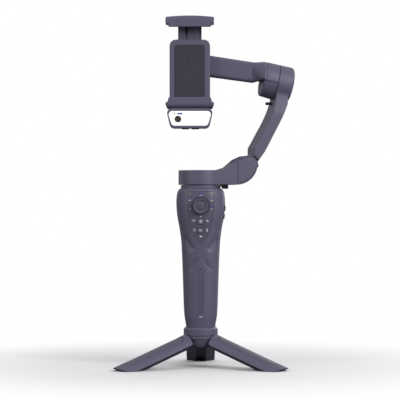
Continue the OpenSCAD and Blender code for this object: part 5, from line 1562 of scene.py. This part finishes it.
class GIMBAL_OT_clamp(bpy.types.Operator):
    """Build the phone clamp's back, jaws and pads"""

    bl_idname = "gimbal.clamp"
    bl_label = "Phone clamp"

    def execute(self, context):
        clamp = sizes(context, "clamp")
        face, half = jaw_face(clamp), clamp.back / 2
        jaw_front = BACK_FRONT - clamp.slot - 2.5
        at = facing(CLAMP, "xz")
        whole = rounded(corners(-half, half, -face - 0.02, BACK_TOP),
                        [0.02, 0.02, BACK_CORNER, BACK_CORNER], 8)
        piece("clamp_back_shell", [
            plate(at, whole, [], BACK_FRONT, -3.5, 0.5),
            plate(at, self.notched(half, -face - 0.02), [], -3.5, 1.1, 0),
            plate(facing(CLAMP, "xz", 0, -1), whole, [ring((0, 0), TIGHT_BORE, 32)], -BACK_REAR,
                  -1.1, 0.6),
        ], "body", "roll_body", ["clamp_back"])
        margin = 5
        pad = plate(at, rounded(corners(margin - half, half - margin, margin - face,
                                        BACK_TOP - margin), 2.5, 6),
                    [], BACK_FRONT - JAW_PAD, BACK_FRONT, 0.25, spacing=0.75, step=0.75,
                    relief=pressed_ribs(1, 2.6, 0.18, 3, half - 7))
        piece("back_pad_ribbed", [pad], "pads", "roll_body", ["back_pad"])

        lower = self.jaw(clamp, -face, 1, LOWER_JAW, 4.6, 1.2, 0, LOWER_JAW * 0.75, jaw_front)
        piece("lower_jaw_shell", [lower], "body", "roll_body", ["lower_jaw"], smooth=40)
        foot, rod_y, rod_top = -3, -1.2, 38.7
        upright = facing(CLAMP, "xy", foot)
        box = rounded(corners(-11, 11, rod_y - 2, rod_y + 2), 0.3, 3)
        rods = [ring((x, rod_y), 1.3, 24) for x in (-7.5, 7.5)]
        piece("upper_jaw_shell", [
            self.jaw(clamp, face, -1, 7.4, 3.4, 0, 1.3, 3.5, jaw_front),
            plate(upright, box, rods, 0, rod_top, 0.2, spacing=5),
            plate(upright, box, [], rod_top, face + 4, 0, spacing=5),
        ], "body", "jaw_body", ["upper_jaw"], smooth=40)
        sheet = rounded(corners(-half, half, jaw_front + 3.3, BACK_FRONT - JAW_PAD), 0.6, 3)
        for name, sign, rides in (("lower_pad", 1, "roll_body"), ("upper_pad", -1, "jaw_body")):
            pad = plate(facing(CLAMP, "xy", sign * (JAW_PAD - face), -sign), sheet, [], 0, JAW_PAD,
                        0.12, spacing=0.55, step=0.8,
                        relief=pressed_ribs(0, 1.9, 0.2, 2, half - 1))
            piece(name + "_ribbed", [pad], "pads", rides, [name])
        return {"FINISHED"}

    def notched(self, half, foot):
        """The back's outline with the carriage's channel cut down from its top."""
        top, r, wide, deep = BACK_TOP, BACK_CORNER, 11.3, -25.0
        return np.concatenate([
            [[-half, foot], [half, foot], [half, top - r]],
            arc((half - r, top - r), r, 0, 90, 10)[1:],
            [[wide, top], [wide, deep], [-wide, deep], [-wide, top]],
            arc((r - half, top - r), r, 90, 180, 10)[:-1], [[-half, top - r]],
        ])

    def jaw(self, clamp, level, sign, h, lip, taper, crown, under, front):
        """A jaw: its side profile is carried across, and at each place across its foot is the
        crown's parabola and its side is the front outline's. Along the profile the share of
        each point's height chooses where it is drawn in."""
        w, rear, e, heel = clamp.jaw / 2, BACK_REAR, 0.9, 0.5
        tip = 2.5 / 3
        y, z = fine(np.concatenate([
            [[rear, 0], [rear, heel - h]], arc((rear - heel, heel - h), heel, 0, -90, 3)[1:],
            arc((front + under, under - h), under, 270, 180, 14),
            arc((front + tip, lip - tip), tip, 180, 90, 5),
            arc((front + 2 * tip, lip - tip), tip, 90, 0, 5),
            [[front + 2.5, 0.25], [front + 2.75, 0.0]],
        ]), 1.1).T
        t = np.linspace(0, math.pi / 2, 6)
        across = np.linspace(-1, 1, 56)[1:-1]
        places = np.concatenate([-np.ones(len(t)), across, np.ones(len(t))])[:, None]
        inset, slide = (e * np.concatenate([1 - curve(t), 0 * across, 1 - curve(t[::-1])])[:, None]
                        for curve in (np.sin, np.cos))
        narrower = 2.4 * ramp(z, 0, 0.6) + 0.6 * ramp(z, lip * 0.55, lip * 0.45) ** 2
        limit = w - np.where(z >= 0, narrower, taper * ramp(-z / h, 1 / 3, 2 / 3))
        shrink_y = np.clip((front + rear - 2 * y) / (rear - front), -1, 1) * inset
        shrink_z = np.clip(2 * z / h + 1, -1, 1) * inset
        arch = crown * places**2 * ramp(-z, 0, h)
        return loft(CLAMP(places * (limit - slide), y + shrink_y,
                          level + sign * (z - shrink_z + arch)))


class GIMBAL_OT_light(bpy.types.Operator):
    """Build the fill light under the clamp"""

    bl_idname = "gimbal.light"
    bl_label = "Fill light"

    def execute(self, context):
        clamp = sizes(context, "clamp")
        top, deep = -jaw_face(clamp) - LOWER_JAW, clamp.light_depth
        at = facing(CLAMP, "xz", LIGHT_FRONT)
        whole = self.outline(clamp, top, 0, 0, 0, 4.7)
        window = self.outline(clamp, top, 1.5, 2.7, 2.4, 3.4)
        hollow = self.outline(clamp, top, 2.9, 4.1, 3.8, 3.4)
        rim, back = 1.2, 1.4
        shell = [plate(at, whole, [window], 0, rim, 0.5, spacing=3),
                 plate(at, whole, [hollow], rim, deep - back, 0),
                 plate(facing(CLAMP, "xz", LIGHT_FRONT + deep, -1), whole, [], 0, back, 0.6)]
        piece("light_shell", shell, "body", "roll_body", ["light_housing"])

        lens, r, long = (-11.0, top - 10.2), clamp.lens, 13.9
        panel = plate(at, grown(window, -0.12), [ring(lens, r + 0.05, 48)], 0.15, 1.15, 0.15,
                      spacing=3)
        piece("light_window", [panel], "white", "roll_body", ["light_diffuser"])
        bowl = np.stack([np.linspace(0.3, r - 0.7, 6), 0.35 - 0.14 * np.linspace(0.1, 1, 6) ** 2],
                        -1)
        place = Place(CLAMP.origin + [lens[0], LIGHT_FRONT, lens[1]], *REARWARD)
        eye = turned(place, np.concatenate([
            [[0, 0.35]], bowl, [[r - 0.6, 0.3], [r - 0.5, 0.12], [r - 0.12, 0.075], [r, 0.17],
                                [r, long], [0, long]]]), 64)
        piece("lens_eye", [eye], "lens", "roll_body", ["lens_window"])

        mark_z = top - 5.05
        dot = plate(at, ring((-14.1, mark_z), 0.85, 28), [], 0.09, 0.9, 0.12, spacing=0.8)
        piece("ready_dot", [dot], "ready", "roll_body")
        bar = plate(at, box_outline((-9.2, mark_z), 4.8, 1.35, 0.4), [], 0.12, 0.6, 0.05,
                    spacing=0.8)
        piece("light_mark", [bar], "glow", "roll_body")
        down = facing(CLAMP, "xy", top - clamp.light_height - 0.85)
        root = 4.9
        for side, x in (("left", -4.1), ("right", 5.2)):
            spot = (x, LIGHT_FRONT + 7)
            key = plate(down, box_outline(spot, 6.8, 4, 0.6), [], 0, root, 0.3, spacing=1,
                        relief=dish(spot, 0.1, 4))
            lip = plate(down, box_outline(spot, 8.2, 5.4, 0.2), [], root, root + 0.6, 0, spacing=3)
            piece("light_key_" + side[0], [key, lip], "dark", side + "_light_button",
                  ["light_key_" + side])
        return {"FINISHED"}

    def outline(self, clamp, top, sides, above, under, r):
        """The module's outline drawn in by its insets: it tapers down and its corners are
        round."""
        wide, narrow = (clamp.light / 2 * share - sides - r for share in (1, 0.9))
        high_z, low_z = top - above - r, top - clamp.light_height + under + r
        return np.concatenate([
            arc((wide, high_z), r, 90, -8, 14), arc((narrow, low_z), r, -8, -90, 10),
            arc((-narrow, low_z), r, 270, 188, 10), arc((-wide, high_z), r, 188, 90, 14)])


# Tripod


class GIMBAL_OT_tripod(bpy.types.Operator):
    """Build the tripod's hub, legs and insets from the CAD shapes, with rounded edges, and a thin
    dark sheet sunk under each inset as painted shade in its groove
    """

    bl_idname = "gimbal.tripod"
    bl_label = "Tripod"

    def execute(self, context):
        piece("hub_body", [cad_copy("tripod_hub")], "body", "handle", ["tripod_hub"],
              bevel=0.35)
        legs = ("a", "left", "leg_1"), ("b", "right", "leg_2"), ("c", "rear", "leg_3")
        for letter, side, rides in legs:
            leg = "leg_" + side
            piece("leg_" + letter, [cad_copy(leg)], "body", rides, [leg], bevel=0.3)
        for letter, side, rides in legs:
            inset = "leg_inset_" + side
            piece("inset_" + letter, [cad_copy(inset, 0.45)], "panel", rides, [inset],
                  bevel=0.15)
            # A thin dark copy of each inset, sunk under it: painted shade that darkens the groove
            # round the inset.
            piece("seam_" + letter, [cad_copy(inset, 0.05, 0.25)], "dark", rides)
        return {"FINISHED"}


# The CAD parts that stay, by the finish they get.
CARRIED = {
    "cell": ["battery_cell"], "board": ["main_board"], "brass": ["thread_insert"],
    "pan_copper": ["pan_stator"], "copper": ["tilt_stator"], "roll_copper": ["roll_stator"],
    "dark": ["joystick_base", "joystick_yoke", "joystick_stick"],
    "steel": ["usb_port", "shell_screws", "pan_bearings", "tripod_stud", "leg_pins", "pan_rotor",
              "knee_pin", "tilt_rotor", "roll_rotor", "guide_rods", "clamp_springs"],
}


class GIMBAL_OT_inner_parts(bpy.types.Operator):
    """Give the CAD parts that stay their materials"""

    bl_idname = "gimbal.inner_parts"
    bl_label = "Inner parts"

    def execute(self, context):
        for name, nodes in CARRIED.items():
            for node in nodes:
                carried = frame["nodes"][node]
                if not carried.material_slots:
                    carried.data.materials.append(None)
                for slot in carried.material_slots:
                    slot.material = finish(name)
        return {"FINISHED"}


# Stage

FLOOR_RADIUS, FADE_FROM, FADE_TO = 3, 0.1, 0.34
# Each lamp's name, place in metres, size and power.
LAMPS = [
    ("Key light", (1.3, -1.3, 1.0), 1.0, 30), ("Fill light", (-1.4, -1.1, 0.9), 1.0, 10),
    ("Back light", (1.3, 1.7, 0.9), 1.6, 14),
]
LAMPS_FACE = Vector((0, 0, 0.15))


class GIMBAL_OT_stage(bpy.types.Operator):
    """Set the floor, the lights, the world and the camera"""

    bl_idname = "gimbal.stage"
    bl_label = "Stage"

    def execute(self, context):
        stage, scene = sizes(context, "stage"), context.scene
        self.floor(stage)
        scene.world = bpy.data.worlds.new("World")
        self.world(scene.world)
        for name, where, size, power in LAMPS:
            data = bpy.data.lights.new(name, "AREA")
            data.size, data.energy = size, power
            turn = (LAMPS_FACE - Vector(where)).to_track_quat("-Z", "Y").to_euler()
            self.staged(name, data, where, turn)
        lens = bpy.data.cameras.new("Camera")
        lens.sensor_width = 36
        lens.lens = lens.sensor_width * stage.distance / stage.view
        lens.clip_end = 20
        where = Vector((PAN_X - 0.66, PAN_Y - stage.distance, stage.height)) * MM
        scene.camera = self.staged("Camera", lens, where, (math.pi / 2, 0, 0))
        scene.view_settings.view_transform = "Standard"
        return {"FINISHED"}

    def staged(self, name, data, where=(0, 0, 0), turn=(0, 0, 0)):
        """An object of the stage at a place, turned by three angles."""
        made = bpy.data.objects.new(name, data)
        made.location, made.rotation_euler = where, turn
        bpy.context.scene.collection.objects.link(made)
        return made

    def seen(self, tree, other, camera, kind):
        """Ends a shader tree: one look for the camera's own rays and another for the rest."""
        ray = add_node(tree, "ShaderNodeLightPath")
        view = add_node(tree, "ShaderNodeMixShader", {}, {
            0: ray.outputs["Is Camera Ray"], 1: other.outputs[0], 2: camera.outputs[0]})
        add_node(tree, "ShaderNodeOutput" + kind, {}, {"Surface": view.outputs[0]})

    def floor(self, stage):
        """A disc whose pale face fades to plain white away from the object."""
        mesh = bpy.data.meshes.new("floor")
        rim = np.pad(ring((0, 0), FLOOR_RADIUS, 96), ((0, 0), (0, 1)))
        mesh.from_pydata(rim.tolist(), [], [list(range(len(rim)))])
        material = bpy.data.materials.new("Floor")
        material.use_nodes = True
        tree = material.node_tree
        tree.nodes.clear()
        matt = add_node(tree, "ShaderNodeBsdfPrincipled", {}, {
            "Base Color": (*stage.floor, 1), "Roughness": 0.7})
        white = add_node(tree, "ShaderNodeEmission", {}, {"Strength": 1})
        place = add_node(tree, "ShaderNodeTexCoord")
        far = add_node(tree, "ShaderNodeVectorMath", {"operation": "LENGTH"},
                       {0: place.outputs["Object"]})
        fade = add_node(tree, "ShaderNodeMapRange", {"interpolation_type": "SMOOTHSTEP"}, {
            "Value": far.outputs["Value"], "From Min": FADE_FROM, "From Max": FADE_TO})
        mix = add_node(tree, "ShaderNodeMixShader", {}, {
            0: fade.outputs["Result"], 1: matt.outputs[0], 2: white.outputs[0]})
        dim = add_node(tree, "ShaderNodeBsdfDiffuse", {}, {"Color": (0.16, 0.16, 0.17, 1)})
        self.seen(tree, dim, mix, "Material")
        mesh.materials.append(material)
        self.staged("floor", mesh)

    def world(self, world):
        """White to the camera, and a moderate grey light otherwise."""
        world.use_nodes = True
        tree = world.node_tree
        tree.nodes.clear()
        dim, white = (add_node(tree, "ShaderNodeBackground", {}, {
            "Color": (1, 1, 1, 1), "Strength": strength}) for strength in (0.47, 1))
        self.seen(tree, dim, white, "World")


OPERATORS = [
    GIMBAL_OT_grip, GIMBAL_OT_keypad, GIMBAL_OT_joystick, GIMBAL_OT_side_controls, GIMBAL_OT_pan,
    GIMBAL_OT_upper_arm, GIMBAL_OT_tilt, GIMBAL_OT_clamp, GIMBAL_OT_light, GIMBAL_OT_tripod,
    GIMBAL_OT_inner_parts, GIMBAL_OT_stage,
]


class GIMBAL_PT_panel(bpy.types.Panel):
    """Sizes and colours of the gimbal, and the steps that build it"""

    bl_idname = "GIMBAL_PT_panel"
    bl_label = "Smartphone gimbal"
    bl_space_type = "VIEW_3D"
    bl_region_type = "UI"
    bl_category = "Gimbal"

    def draw(self, context):
        for name in GROUPS:
            box = self.layout.box()
            group = getattr(context.scene, name)
            box.label(text=name.replace("gimbal_", "").capitalize())
            for key in group.__annotations__:
                box.prop(group, key)
        for operator in OPERATORS:
            self.layout.operator(operator.bl_idname)


CLASSES = [*GROUPS.values(), *OPERATORS, GIMBAL_PT_panel]


def register():
    for made in CLASSES:
        bpy.utils.register_class(made)
    for name, group in GROUPS.items():
        setattr(bpy.types.Scene, name, PointerProperty(type=group))


def unregister():
    for name in GROUPS:
        delattr(bpy.types.Scene, name)
    for made in reversed(CLASSES):
        bpy.utils.unregister_class(made)


def main():
    """Registers the add-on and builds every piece."""
    register()
    for operator in OPERATORS:
        name = operator.bl_idname.split(".")[1]
        getattr(bpy.ops.gimbal, name)()


if __name__ == "__main__":
    main()
